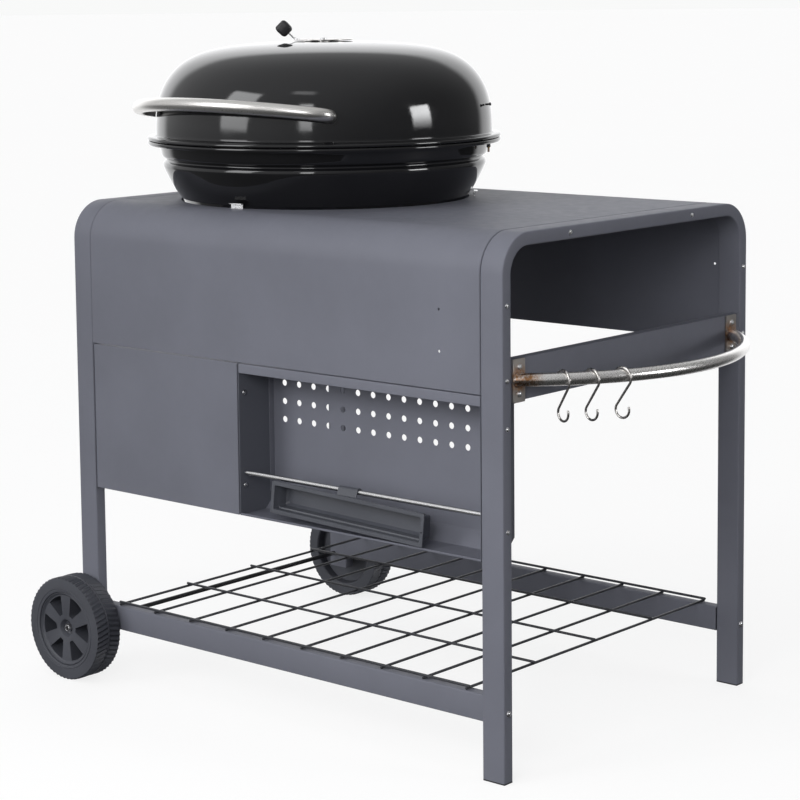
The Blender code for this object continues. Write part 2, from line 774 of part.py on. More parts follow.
def handle_points():
    """Centre line of the bow handle, from one lid socket round to the other."""
    def arc_point(angle):
        return Vector((
            KETTLE_X + HANDLE_ARC * math.sin(angle),
            KETTLE_Y - HANDLE_SHIFT - HANDLE_ARC * math.cos(angle),
            0.0,
        ))

    bend = math.radians(6.0)
    corner = arc_point(HANDLE_HALF_ANGLE)
    radial = Vector((corner.x - KETTLE_X, corner.y - KETTLE_Y, 0.0))
    socket = Vector((KETTLE_X, KETTLE_Y, 0.0)) + radial.normalized() * LID_SOCKET_RADIUS
    near = arc_point(HANDLE_HALF_ANGLE - bend)
    half = [socket]
    for i in range(6):
        t = i / 5
        half.append(
            socket.lerp(corner, 0.25) * (1 - t) ** 2 + corner * 2 * t * (1 - t) + near * t**2
        )
    steps = 8
    for i in range(1, steps + 1):
        half.append(arc_point((HANDLE_HALF_ANGLE - bend) * (1 - i / steps)))
    mirrored = [Vector((2 * KETTLE_X - p.x, p.y, p.z)) for p in half[:-1]]
    points = mirrored + half[::-1]
    chord_y = KETTLE_Y - 0.28 * math.cos(HANDLE_HALF_ANGLE)
    for point in points:
        point.z = HANDLE_Z + math.tan(HANDLE_TILT) * (chord_y - point.y)
    return points


def hinge_bore_cutter(material):
    shape = bmesh.new()
    ends = [(KETTLE_X + side * 0.04, HINGE_Y, HINGE_Z) for side in (-1, 1)]
    add_rod(shape, *ends, HINGE_PIN + 0.0004, 10)
    return finish_mesh("hinge_bore_cutter", shape, material)


def bowl_hinge_bracket(bore, material):
    """Plate on the back of the bowl with two ears that carry the hinge pin."""
    back = KETTLE_Y + 0.2765
    bracket = box(
        "bowl_hinge_bracket",
        (KETTLE_X - 0.020, back - 0.0024, 0.8640),
        (KETTLE_X + 0.020, back + 0.0020, 0.8860),
        material,
    )
    outline = [
        (back, 0.8640), (back + 0.0235, 0.8840), (HINGE_Y + 0.006, 0.8960),
        (HINGE_Y + 0.006, 0.9120), (HINGE_Y - 0.006, 0.9120), (HINGE_Y - 0.0075, 0.8920),
        (back, 0.8850),
    ]
    for name, inner in (("left", -0.0200), ("right", 0.0170)):
        shape = bmesh.new()
        loft(shape, [[(KETTLE_X + x, y, z) for y, z in outline] for x in (inner, inner + 0.0030)])
        boolean(bracket, finish_mesh(f"bowl_hinge_ear_{name}", shape, material), "UNION")
    boolean(bracket, bore, "DIFFERENCE")
    return bracket


def lid_hinge_arm(bore, material, origin):
    """Cast arm on the back of the lid; the pin runs through its lower end."""
    shape = bmesh.new()
    outline = [
        (HINGE_Y + 0.0055, HINGE_Z - 0.0040), (HINGE_Y + 0.0055, HINGE_Z + 0.0050),
        (KETTLE_Y + 0.2885, 0.9420), (KETTLE_Y + 0.2800, 0.9420),
        (KETTLE_Y + 0.2803, 0.9080), (KETTLE_Y + 0.2840, 0.9040), (HINGE_Y - 0.0055, 0.9035),
        (HINGE_Y - 0.0030, HINGE_Z - 0.0055),
    ]
    loft(shape, [[(KETTLE_X + x, y, z) for y, z in outline] for x in (-0.0150, 0.0150)])
    arm = finish_mesh("lid_hinge_arm", shape, material, origin)
    boolean(arm, bore, "DIFFERENCE")
    return arm


def round_grate(name, sizes, material):
    """Welded round grate: a ring, parallel bars across it and two bars under those."""
    radius, z, ring_wire, bars, bar_wire = sizes
    origin = (KETTLE_X, KETTLE_Y, z)
    section = [math.tau * (k + 0.5) / 6 for k in range(6)]
    loop = [(radius + ring_wire * math.cos(a), z + ring_wire * math.sin(a)) for a in section]
    centre = (KETTLE_X, KETTLE_Y, 0.0)
    grate = turned(name, loop, centre, KETTLE_STEPS, material, origin=origin)
    parallel = bmesh.new()
    pitch = 2 * radius / (bars + 1)
    bar_z = z + ring_wire * 0.55
    for i in range(bars):
        x = -radius + pitch * (i + 1)
        half = math.sqrt(radius**2 - x**2) * 0.998
        ends = [(KETTLE_X + x, KETTLE_Y + side * half, bar_z) for side in (-1, 1)]
        add_rod(parallel, *ends, bar_wire, 4, turn=math.pi / 4)
    boolean(grate, finish_mesh(name + "_bars", parallel, material, origin), "UNION")
    cross = bmesh.new()
    cross_z = z - ring_wire * 0.4
    for y in (-0.30 * radius, 0.30 * radius):
        ends = [(KETTLE_X + side * radius * 0.92, KETTLE_Y + y, cross_z) for side in (-1, 1)]
        add_rod(cross, *ends, bar_wire, 4, turn=math.pi / 4)
    boolean(grate, finish_mesh(name + "_cross_bars", cross, material, origin), "UNION")
    return grate


def ash_sweep(material):
    """Three-bladed air shutter and ash sweep that turns inside the bottom of the bowl."""
    z = SWEEP_Z
    origin = (KETTLE_X, KETTLE_Y, z)
    loop = [(0.0, z), (0.0240, z), (0.0240, z + 0.0020), (0.0, z + 0.0020)]
    sweep = turned("ash_sweep", loop, (KETTLE_X, KETTLE_Y, 0.0), 12, material, origin=origin)
    blades = bmesh.new()
    corners = [(0.015, -0.22, 0.0), (0.092, -0.20, 0.0085), (0.092, 0.20, 0.0085), (0.015, 0.22, 0.0)]
    for i in range(3):
        angle = math.tau * i / 3 + math.radians(30.0)
        loft(blades, [
            [on_kettle(angle + turn, radius, z + rise + up) for radius, turn, rise in corners]
            for up in (0.0003, 0.0003 + SWEEP_SHEET)
        ])
    boolean(sweep, finish_mesh("ash_sweep_blades", blades, material, origin), "UNION")
    stem = bmesh.new()
    add_rod(stem, (KETTLE_X, KETTLE_Y, LEVER_Z + 0.0045), (KETTLE_X, KETTLE_Y, z + 0.001), 0.0035, 8)
    boolean(sweep, finish_mesh("ash_sweep_stem", stem, material, origin), "UNION")
    return sweep


def ash_sweep_lever(material):
    """Flat lever under the bowl, pressed on the lower end of the sweep's stem."""
    z = LEVER_Z
    origin = (KETTLE_X, KETTLE_Y, z)
    low = (KETTLE_X - 0.0080, KETTLE_Y - LEVER_LENGTH, z)
    lever = box(
        "ash_sweep_lever", low, (KETTLE_X + 0.0080, KETTLE_Y + 0.0080, z + 0.0030), material, origin,
    )
    collar = bmesh.new()
    add_rod(collar, (KETTLE_X, KETTLE_Y, z + 0.001), (KETTLE_X, KETTLE_Y, z + 0.0125), 0.0080, 8)
    boolean(lever, finish_mesh("ash_sweep_lever_collar", collar, material, origin), "UNION")
    drill = bmesh.new()
    add_rod(drill, (KETTLE_X, KETTLE_Y, z + 0.0041), (KETTLE_X, KETTLE_Y, z + 0.0215), 0.0039, 8)
    boolean(lever, finish_mesh("ash_sweep_lever_bore", drill, material, origin), "DIFFERENCE")
    return lever


def bowl_vent_plate(material):
    """Bottom plate of the bowl, with three wedge-shaped air openings and a middle bore."""
    z = VENT_PLATE_Z
    loop = [(0.0, z), (0.0500, z), (0.0500, z + 0.0018), (0.0, z + 0.0018)]
    plate = turned("bowl_vent_plate", loop, (KETTLE_X, KETTLE_Y, 0.0), 24, material)
    shape = bmesh.new()
    low = z - 0.008
    high = z + 0.008
    corners = [(0.011, -0.55), (0.031, -0.45), (0.031, 0.45), (0.011, 0.55)]
    for i in range(3):
        angle = math.tau * i / 3 + math.radians(90.0)
        loft(shape, [
            [on_kettle(angle + turn, radius, level) for radius, turn in corners]
            for level in (low, high)
        ])
    add_rod(shape, (KETTLE_X, KETTLE_Y, low), (KETTLE_X, KETTLE_Y, high), 0.0042, 8)
    boolean(plate, finish_mesh("bowl_vent_cutter", shape, material), "DIFFERENCE")
    return plate


def ash_pan(material, origin):
    """Shallow dish that hangs by its rim on the two hangers."""
    centre = (KETTLE_X, KETTLE_Y, 0.0)
    floor = PAN_Z - PAN_DEPTH
    path = [(0.0, floor), (0.0780, floor), (0.0920, PAN_Z - 0.0060), (0.0925, PAN_Z),
            (PAN_RADIUS, PAN_Z)]
    return turned("ash_pan", shell_loop(path, 0.0010), centre, 24, material, origin=origin)


def pan_hanger(name, side, material):
    """Folded strap from the bowl down to a rail under the pan's rim."""
    outer = PAN_RADIUS + 0.0030
    thick = 0.0015
    top = HANGER_TOP
    half = 0.030
    outline = [
        (outer - 0.0110, PAN_Z - 0.0010 - thick), (outer - 0.0110, PAN_Z - 0.0010),
        (outer, PAN_Z - 0.0010), (outer, top), (outer + thick, top + 0.0002),
        (outer + thick, PAN_Z - 0.0010 - thick),
    ]
    shape = bmesh.new()
    loft(shape, [
        [(KETTLE_X + side * x, KETTLE_Y + y, z) for x, z in outline] for y in (-half, half)
    ])
    return finish_mesh(name, shape, material)


def bowl_bracket(name, angle, material):
    """Small angle bracket between the bowl's wall and the table, its tab pointing outwards."""
    shape = bmesh.new()
    sheet = 0.0014
    half = 0.0115
    inner = 0.2482
    reach = 0.0063
    table = TABLE_HEIGHT + GAP
    top = table + 0.0085
    outline = [
        (inner, table), (inner + sheet, table), (inner + sheet, top - sheet),
        (inner + reach, top - sheet), (inner + reach, top), (inner, top),
    ]
    tangent = Vector((math.cos(angle), math.sin(angle), 0.0))
    loft(shape, [
        [on_kettle(angle, radius, z) + tangent * side for radius, z in outline]
        for side in (-half, half)
    ])
    return finish_mesh(name, shape, material)


def wing_nut(material):
    """Wing nut on a short screw under the bowl's rim."""
    angle = math.radians(112.0)
    centre = on_kettle(angle, 0.2850, 0.8850)
    tangent = Vector((math.cos(angle), math.sin(angle), 0.0))
    shape = bmesh.new()
    add_rod(shape, centre + Vector((0, 0, 0.0030)), centre - Vector((0, 0, 0.0110)), 0.0020, 6)
    nut = finish_mesh("rim_wing_nut", shape, material)
    wings = bmesh.new()
    add_rod(wings, centre - tangent * 0.0085, centre + tangent * 0.0085, 0.0026, 6)
    boolean(nut, finish_mesh("rim_wing_nut_wings", wings, material), "UNION")
    return nut


def build_trolley(paint, plastic, stainless, bright, black):
    left = end_frame("left_end_frame", LEFT_X, 0.0620, paint)
    boolean(left, axle_hole_cutter(paint), "DIFFERENCE")
    end_frame("right_end_frame", INNER_RIGHT_X, 0.0020 + GAP, paint)
    foot_plug("front_foot_plug", FRONT_Y, black)
    foot_plug("rear_foot_plug", REAR_Y - TUBE_DEPTH, black)
    lower_rail("front_lower_rail", FRONT_Y + LOWER_RAIL_SETBACK, paint)
    lower_rail("rear_lower_rail", REAR_Y - LOWER_RAIL_SETBACK - TUBE_DEPTH, paint)
    wire_shelf(paint)
    hood_panel(paint)
    left_front_panel(paint)
    cross_panel(paint)
    towel_rail(stainless)
    rail_plate("rail_plate_front", RAIL_CENTRE_Y - RAIL_HALF_CHORD + 0.0043, stainless)
    rail_plate("rail_plate_rear", RAIL_CENTRE_Y + RAIL_HALF_CHORD, stainless)
    for number, y in enumerate(HOOK_SPOTS, 1):
        s_hook(f"s_hook_{number}", math.asin((y - RAIL_CENTRE_Y) / RAIL_RADIUS), stainless)
    build_recess(paint, plastic, stainless, bright)
    build_axle(plastic, bright, black)


def build_recess(paint, plastic, stainless, bright):
    recess_shell(paint)
    left_wall = LEFT_X + PANEL_RIGHT
    right_wall = INNER_RIGHT_X - SHEET - GAP
    recess_wall("recess_left_wall", left_wall, paint)
    recess_wall("recess_right_wall", right_wall, paint)
    for height, z in (("upper", 0.5160), ("lower", 0.3690)):
        recess_screw(f"recess_left_screw_{height}", left_wall + 2 * SHEET, 1, z, bright)
        recess_screw(f"recess_right_screw_{height}", right_wall - SHEET, -1, z, bright)
    axis = (TRAY_CENTRE_X, ROD_Y, ROD_Z)
    left_end = (left_wall + SHEET + GAP, ROD_Y, ROD_Z)
    right_end = (right_wall - GAP, ROD_Y, ROD_Z)
    rod("utensil_rod", left_end, right_end, ROD_RADIUS, 12, stainless, axis)
    utensil_tray(plastic, axis)
    tray_clip(plastic, axis)


def build_axle(plastic, bright, black):
    reach = WHEEL_FACE_Y - 0.0085
    axle_ends = [(AXLE_X, y, WHEEL_RADIUS) for y in (-reach, reach)]
    rod("axle", *axle_ends, AXLE_RADIUS, 12, black)
    wheel("front_wheel", -WHEEL_FACE_Y, 1, plastic)
    wheel("rear_wheel", WHEEL_FACE_Y, -1, plastic)
    washer = [(0.0044, 0.0), (0.0090, 0.0), (0.0090, 0.0024), (0.0044, 0.0024)]
    nut = [(0.0050, 0.0), (0.0075, 0.0), (0.0075, 0.0055), (0.0050, 0.0055)]
    washer_y = FRAME_DEPTH / 2 + 0.0003
    nut_y = WHEEL_FACE_Y - 0.0117
    starts = (("front", -washer_y, -nut_y), ("rear", washer_y + 0.0024, nut_y + 0.0055))
    for name, washer_start, nut_start in starts:
        place = (AXLE_X, washer_start, WHEEL_RADIUS)
        turned(f"{name}_axle_washer", washer, place, 12, bright, axis="Y")
        place = (AXLE_X, nut_start, WHEEL_RADIUS)
        turned(f"{name}_axle_nut", nut, place, 6, bright, axis="Y", smooth=20)


def build_bowl(enamel, aluminium, grate_wire, bright, black):
    bowl(enamel)
    for number in range(3):
        bowl_bracket(f"bowl_bracket_{number + 1}", math.radians(8.4 + 120.0 * number), bright)
    bowl_vent_plate(aluminium)
    ash_sweep(aluminium)
    ash_sweep_lever(aluminium)
    pan_hanger("ash_pan_hanger_left", -1, aluminium)
    pan_hanger("ash_pan_hanger_right", 1, aluminium)
    ash_pan(aluminium, (KETTLE_X, KETTLE_Y, PAN_Z))
    round_grate("charcoal_grate", CHARCOAL_GRATE, grate_wire)
    round_grate("cooking_grate", COOKING_GRATE, grate_wire)
    wing_nut(black)


def build_lid(enamel, stainless, bright, black):
    hinge = (KETTLE_X, HINGE_Y, HINGE_Z)
    lid(enamel, hinge)
    wire("lid_handle", handle_points(), HANDLE_TUBE, stainless, 2, hinge)
    bore = hinge_bore_cutter(black)
    bowl_hinge_bracket(bore, black)
    lid_hinge_arm(bore, black, hinge)
    pin_ends = [(KETTLE_X + side * 0.024, HINGE_Y, HINGE_Z) for side in (-1, 1)]
    rod("hinge_pin", *pin_ends, HINGE_PIN, 10, bright)
    damper_axis = (KETTLE_X, KETTLE_Y, DAMPER_Z)
    top_damper(bright, damper_axis)
    damper_knob(black, damper_axis)
    damper_rivet(bright, hinge)
    peg = math.radians(114.0)
    peg_ends = (on_kettle(peg, 0.2800, 0.9510), on_kettle(peg, 0.2870, 0.9520))
    rod("lid_peg", *peg_ends, 0.0020, 6, black, hinge)


def build():
    clear_scene()
    paint = make_material("slate_paint", PAINT, 0.42, 0.35)
    enamel = make_material("black_enamel", ENAMEL, 0.08, 0.0)
    stainless = make_material("stainless_steel", STEEL, 0.25, 1.0)
    bright = make_material("bright_screw", (0.75, 0.75, 0.76), 0.18, 1.0)
    plastic = make_material("grey_plastic", BLACK_PLASTIC, 0.50, 0.0)
    black = make_material("black_hardware", (0.02, 0.02, 0.022), 0.40, 0.0)
    grate_wire = make_material("plated_wire", (0.55, 0.55, 0.56), 0.30, 1.0)
    aluminium = make_material("aluminium_sheet", (0.70, 0.70, 0.71), 0.35, 1.0)
    build_trolley(paint, plastic, stainless, bright, black)
    build_bowl(enamel, aluminium, grate_wire, bright, black)
    build_lid(enamel, stainless, bright, black)


build()
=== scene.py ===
"""Looks of the kettle grill: detailed pieces, materials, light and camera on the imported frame.

Metres, +Z up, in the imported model's frame: +X is the towel rail's end and -Y the front.
"""
import math

import bmesh
import bpy
import numpy as np
from mathutils import Matrix, Vector


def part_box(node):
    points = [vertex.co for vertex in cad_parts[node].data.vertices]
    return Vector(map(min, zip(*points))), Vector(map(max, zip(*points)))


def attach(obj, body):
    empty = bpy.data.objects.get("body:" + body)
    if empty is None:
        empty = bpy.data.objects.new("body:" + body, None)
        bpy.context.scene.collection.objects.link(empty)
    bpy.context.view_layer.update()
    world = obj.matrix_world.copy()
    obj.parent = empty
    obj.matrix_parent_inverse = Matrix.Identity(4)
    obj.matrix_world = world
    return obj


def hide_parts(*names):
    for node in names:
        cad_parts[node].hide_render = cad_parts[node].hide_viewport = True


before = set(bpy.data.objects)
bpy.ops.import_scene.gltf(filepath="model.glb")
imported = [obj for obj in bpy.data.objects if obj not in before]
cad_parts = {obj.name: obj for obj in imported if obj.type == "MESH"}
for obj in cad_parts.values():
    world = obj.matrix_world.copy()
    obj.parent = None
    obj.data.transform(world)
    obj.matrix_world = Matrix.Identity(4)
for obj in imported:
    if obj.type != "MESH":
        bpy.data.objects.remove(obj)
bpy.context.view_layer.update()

# Places read from the frame
LEFT_LOW, LEFT_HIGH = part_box("left_end_frame")
RIGHT_LOW, RIGHT_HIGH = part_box("right_end_frame")
LEFT_X, INNER_LEFT_X = LEFT_LOW[0], LEFT_HIGH[0]
INNER_RIGHT_X, RIGHT_X = RIGHT_LOW[0], RIGHT_HIGH[0]
FRONT_Y, REAR_Y = RIGHT_LOW[1], RIGHT_HIGH[1]
TABLE_Z = RIGHT_HIGH[2]
BOWL_LOW, BOWL_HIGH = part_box("bowl")
KETTLE_X = (BOWL_LOW[0] + BOWL_HIGH[0]) / 2
KETTLE_Y = (BOWL_LOW[1] + BOWL_HIGH[1]) / 2
KETTLE_AXIS = (KETTLE_X, KETTLE_Y, 0.0)

# Tube, sheet and wire
TUBE_DEPTH = 0.020
TUBE_ROUND = 0.0022
TUBE_WALL = 0.0015
CORNER_RADIUS = 0.060
SHEET = 0.0012
SEAM = 0.0009
SKIRT_SEAM = 0.0011
WIRE = 0.0021
KETTLE_SHEET = 0.0013
BOWL_HOLE_RADIUS = 0.2405
HOOD_HOLES = ((0.2985, FRONT_Y, 0.6818), (0.2985, FRONT_Y, 0.6204), (0.3550, REAR_Y, 0.6910))
HOOD_HOLE_RADIUS = 0.0021
HOLE_ROWS = (0.5248, 0.4955, 0.4666)
HOLE_COLUMNS = 13
HOLE_PITCH = 0.0309
FIRST_HOLE = 0.4028
HOOK_SPOTS = (-0.242, -0.209, -0.168)

TROLLEY = "trolley"
LID = "lid_body"


# ---------------------------------------------------------------- materials

def new_material(name, colour, roughness, metallic=0.0):
    material = bpy.data.materials.new(name)
    material.use_nodes = True
    shader = material.node_tree.nodes["Principled BSDF"]
    shader.inputs["Base Color"].default_value = (*colour, 1.0)
    shader.inputs["Roughness"].default_value = roughness
    shader.inputs["Metallic"].default_value = metallic
    material.diffuse_color = (*colour, 1.0)
    return material


def shader_of(material):
    return material.node_tree.nodes["Principled BSDF"]


def noise(material, scale, detail=3.0, stretch=(1.0, 1.0, 1.0), distortion=0.0):
    """A noise texture in the piece's own space; stretch above 1 makes the grain finer that way."""
    tree = material.node_tree
    place = tree.nodes.new("ShaderNodeTexCoord")
    mapping = tree.nodes.new("ShaderNodeMapping")
    mapping.inputs["Scale"].default_value = stretch
    texture = tree.nodes.new("ShaderNodeTexNoise")
    texture.inputs["Scale"].default_value = scale
    texture.inputs["Detail"].default_value = detail
    texture.inputs["Distortion"].default_value = distortion
    tree.links.new(place.outputs["Object"], mapping.inputs["Vector"])
    tree.links.new(mapping.outputs["Vector"], texture.inputs["Vector"])
    return texture.outputs["Fac"]


def remap(material, value, low, high, to_low, to_high):
    node = material.node_tree.nodes.new("ShaderNodeMapRange")
    node.inputs["From Min"].default_value = low
    node.inputs["From Max"].default_value = high
    node.inputs["To Min"].default_value = to_low
    node.inputs["To Max"].default_value = to_high
    material.node_tree.links.new(value, node.inputs["Value"])
    return node.outputs["Result"]


def blend_colours(material, factor, first, second):
    """Mix of two colours; each is either a tuple or another node's output."""
    tree = material.node_tree
    node = tree.nodes.new("ShaderNodeMix")
    node.data_type = "RGBA"
    tree.links.new(factor, node.inputs["Factor"])
    for socket, colour in ((node.inputs[6], first), (node.inputs[7], second)):
        if isinstance(colour, tuple):
            socket.default_value = (*colour, 1.0)
        else:
            tree.links.new(colour, socket)
    return node.outputs[2]


def product(material, first, second):
    node = material.node_tree.nodes.new("ShaderNodeMath")
    node.operation = "MULTIPLY"
    for socket, value in zip(node.inputs, (first, second)):
        material.node_tree.links.new(value, socket)
    return node.outputs[0]


def distance_from(material, centre):
    """Distance from a point of the row frame to the shaded point, while the piece is at rest."""
    tree = material.node_tree
    place = tree.nodes.new("ShaderNodeTexCoord")
    node = tree.nodes.new("ShaderNodeVectorMath")
    node.operation = "DISTANCE"
    node.inputs[1].default_value = centre
    tree.links.new(place.outputs["Object"], node.inputs[0])
    return node.outputs["Value"]


def colour_from(material, colour):
    material.node_tree.links.new(colour, shader_of(material).inputs["Base Color"])


def roughness_from(material, value):
    material.node_tree.links.new(value, shader_of(material).inputs["Roughness"])


def bump_from(material, height, strength, depth):
    """Adds relief; a second call lies on top of the first."""
    tree = material.node_tree
    node = tree.nodes.new("ShaderNodeBump")
    node.inputs["Strength"].default_value = strength
    node.inputs["Distance"].default_value = depth
    tree.links.new(height, node.inputs["Height"])
    normal = shader_of(material).inputs["Normal"]
    if normal.is_linked:
        tree.links.new(normal.links[0].from_socket, node.inputs["Normal"])
    tree.links.new(node.outputs["Normal"], normal)


def shade(colour, factor):
    return tuple(channel * factor for channel in colour)


def powder_coat(name, colour, gloss=(0.50, 0.60), tone=0.05, grain=900.0):
    """Oven-baked powder paint: fine orange peel, slight drift in tone, satin sheen."""
    material = new_material(name, colour, sum(gloss) / 2)
    drift = noise(material, 7.0, 4.0)
    cloud = blend_colours(material, remap(material, drift, 0.35, 0.65, 0.0, 1.0),
                          shade(colour, 1 - tone), shade(colour, 1 + tone))
    speck = remap(material, noise(material, 2400.0, 1.0), 0.62, 0.72, 0.0, 0.35)
    colour_from(material, blend_colours(material, speck, cloud, shade(colour, 1.25)))
    roughness_from(material, remap(material, noise(material, 60.0), 0.3, 0.7, *gloss))
    bump_from(material, noise(material, grain, 2.0), 0.16, 0.00025)
    shader_of(material).inputs["Specular IOR Level"].default_value = 0.26
    return material


def vitreous_enamel(name):
    """Fired black glass on steel: deep, glossy, with a slight ripple."""
    material = new_material(name, (0.006, 0.006, 0.007), 0.07)
    drift = remap(material, noise(material, 5.0, 4.0), 0.3, 0.7, 0.0, 1.0)
    colour_from(
        material, blend_colours(material, drift, (0.0045, 0.0045, 0.0055), (0.009, 0.009, 0.010)))
    roughness_from(material, remap(material, noise(material, 35.0, 5.0), 0.35, 0.7, 0.045, 0.11))
    bump_from(material, noise(material, 150.0, 2.0), 0.045, 0.0006)
    bump_from(material, noise(material, 900.0, 1.0), 0.030, 0.0002)
    shader_of(material).inputs["Specular IOR Level"].default_value = 0.62
    return material


def satin_steel(name, colour, roughness, stretch, heat=()):
    """Brushed stainless; heat lists the (centre, reach) of each weld's straw-brown tint."""
    material = new_material(name, colour, sum(roughness) / 2, 1.0)
    grain = noise(material, 260.0, 4.0, stretch)
    surface = blend_colours(material, grain, shade(colour, 0.90), shade(colour, 1.06))
    blot = noise(material, 240.0, 4.0)
    for centre, reach in heat:
        near = remap(material, distance_from(material, centre), reach * 0.45, reach, 1.0, 0.0)
        tint = product(material, near, remap(material, blot, 0.30, 0.62, 0.15, 1.0))
        surface = blend_colours(material, tint, surface, (0.42, 0.20, 0.075))
        core = remap(material, distance_from(material, centre), reach * 0.30, reach * 0.62, 0.75, 0.0)
        surface = blend_colours(material, product(material, core, blot), surface, (0.10, 0.065, 0.045))
    colour_from(material, surface)
    roughness_from(material, remap(material, grain, 0.3, 0.7, *roughness))
    bump_from(material, grain, 0.05, 0.0002)
    return material


def bright_metal(name, colour, roughness, mottle=90.0):
    material = new_material(name, colour, roughness, 1.0)
    stain = noise(material, mottle, 5.0)
    colour_from(material, blend_colours(material, stain, shade(colour, 0.80), shade(colour, 1.08)))
    roughness_from(material, remap(material, stain, 0.3, 0.7, roughness * 0.75, roughness * 1.4))
    bump_from(material, noise(material, 700.0, 2.0), 0.05, 0.0002)
    return material


def moulded_plastic(name, colour, gloss=(0.44, 0.60), grain=1300.0, depth=0.25):
    """Injection-moulded plastic with a spark-eroded texture and scuffed light spots."""
    material = new_material(name, colour, sum(gloss) / 2)
    drift = remap(material, noise(material, 18.0, 5.0), 0.3, 0.7, 0.0, 1.0)
    cloud = blend_colours(material, drift, shade(colour, 0.92), shade(colour, 1.08))
    scuff = remap(material, noise(material, 120.0, 6.0, distortion=0.6), 0.60, 0.75, 0.0, 0.30)
    colour_from(material, blend_colours(material, scuff, cloud, shade(colour, 1.5)))
    roughness_from(material, remap(material, drift, 0.0, 1.0, *gloss))
    bump_from(material, noise(material, grain, 2.0), depth, 0.0002)
    return material


def rusty_steel(name):
    material = new_material(name, (0.30, 0.20, 0.14), 0.6, 0.4)
    spots = noise(material, 420.0, 5.0)
    colour_from(material, blend_colours(material, spots, (0.30, 0.13, 0.06), (0.45, 0.40, 0.36)))
    bump_from(material, spots, 0.4, 0.0004)
    return material


RAIL_LOW, RAIL_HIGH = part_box("towel_rail")
RAIL_Z = (RAIL_LOW[2] + RAIL_HIGH[2]) / 2
PLATE_BOXES = [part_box("rail_plate_front"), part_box("rail_plate_rear")]
PLATE_FACE_X = PLATE_BOXES[0][1][0]
WELDS = [(PLATE_FACE_X + 0.006, y, RAIL_Z) for y in (-0.284, 0.266)]

PAINT = powder_coat("slate_powder_coat", (0.150, 0.155, 0.186))
# Darker copy of the same slate paint: painted shade for the recess side walls.
PAINT_PAINTED_SHADE = powder_coat("slate_powder_coat_painted_shade", (0.105, 0.110, 0.132), gloss=(0.55, 0.65))
WIRE_PAINT = powder_coat("dark_wire_coat", (0.040, 0.041, 0.047), gloss=(0.34, 0.46), grain=1500.0)
ENAMEL = vitreous_enamel("black_enamel")
RAIL_STEEL = satin_steel("rail_stainless", (0.90, 0.885, 0.865), (0.24, 0.34), (6.0, 0.6, 6.0),
                         heat=[(weld, 0.034) for weld in WELDS])
PLATE_STEEL = satin_steel("plate_stainless", (0.47, 0.445, 0.42), (0.34, 0.50), (1.0, 1.0, 5.0),
                          heat=[(weld, 0.026) for weld in WELDS])
HANDLE_STEEL = satin_steel("handle_stainless", (0.80, 0.785, 0.76), (0.26, 0.36), (0.7, 6.0, 6.0))
HOOK_STEEL = bright_metal("hook_stainless", (0.62, 0.60, 0.58), 0.24, 260.0)
ROD_STEEL = satin_steel("rod_steel", (0.82, 0.82, 0.83), (0.16, 0.26), (0.5, 8.0, 8.0))
SCREW_STEEL = bright_metal("zinc_screw", (0.78, 0.78, 0.79), 0.26, 400.0)
DAMPER_STEEL = bright_metal("damper_plate", (0.72, 0.70, 0.68), 0.20, 60.0)
SHEET_ALUMINIUM = satin_steel("rolled_aluminium", (0.66, 0.66, 0.67), (0.30, 0.44), (1.0, 8.0, 1.0))
GRATE_STEEL = bright_metal("plated_grate_wire", (0.52, 0.52, 0.53), 0.30, 140.0)
WHEEL_PLASTIC = moulded_plastic("wheel_plastic", (0.058, 0.061, 0.074))
TRAY_PLASTIC = moulded_plastic("tray_plastic", (0.066, 0.070, 0.084), (0.30, 0.42), 2200.0, 0.10)
BLACK_PLASTIC = moulded_plastic("black_plastic", (0.016, 0.016, 0.018), (0.34, 0.48), 1500.0, 0.18)
BLACK_METAL = powder_coat("black_metal", (0.020, 0.020, 0.022), gloss=(0.30, 0.42))
BRASS = bright_metal("brass_core", (0.62, 0.46, 0.22), 0.30, 300.0)
RUST = rusty_steel("rusty_screw_tip")


# ---------------------------------------------------------------- mesh tools

def join_rings(shape, first, second):
    count = len(first)
    for i in range(count):
        j = (i + 1) % count
        shape.faces.new((first[i], first[j], second[j], second[i]))


def skin(shape, sections, capped=True, looped=False):
    """Skins closed loops that all have the same number of points."""
    rings = [[shape.verts.new(point) for point in section] for section in sections]
    for first, second in zip(rings, rings[1:]):
        join_rings(shape, first, second)
    if looped:
        join_rings(shape, rings[-1], rings[0])
    elif capped:
        shape.faces.new(rings[0])
        shape.faces.new(reversed(rings[-1]))
    return rings


def skin_pipe(shape, outer_sections, inner_sections):
    outer = skin(shape, outer_sections, capped=False)
    inner = skin(shape, inner_sections, capped=False)
    join_rings(shape, outer[0], inner[0])
    join_rings(shape, outer[-1], inner[-1])


def to_object(name, shape, material, smooth=35.0):
    bmesh.ops.remove_doubles(shape, verts=shape.verts, dist=1e-6)
    bmesh.ops.recalc_face_normals(shape, faces=shape.faces)
    mesh = bpy.data.meshes.new(name)
    shape.to_mesh(mesh)
    shape.free()
    mesh.materials.append(material)
    mesh.shade_smooth()
    mesh.set_sharp_from_angle(angle=math.radians(smooth))
    obj = bpy.data.objects.new(name, mesh)
    bpy.context.scene.collection.objects.link(obj)
    return obj


def settle(obj, body, *nodes, slot=None):
    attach(obj, body)
    if nodes:
        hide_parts(*nodes)
    return obj


def bevelled(obj, width, segments=2, angle=30.0):
    modifier = obj.modifiers.new("Soft edges", "BEVEL")
    modifier.width = width
    modifier.segments = segments
    modifier.limit_method = "ANGLE"
    modifier.angle_limit = math.radians(angle)
    modifier.harden_normals = True
    return obj


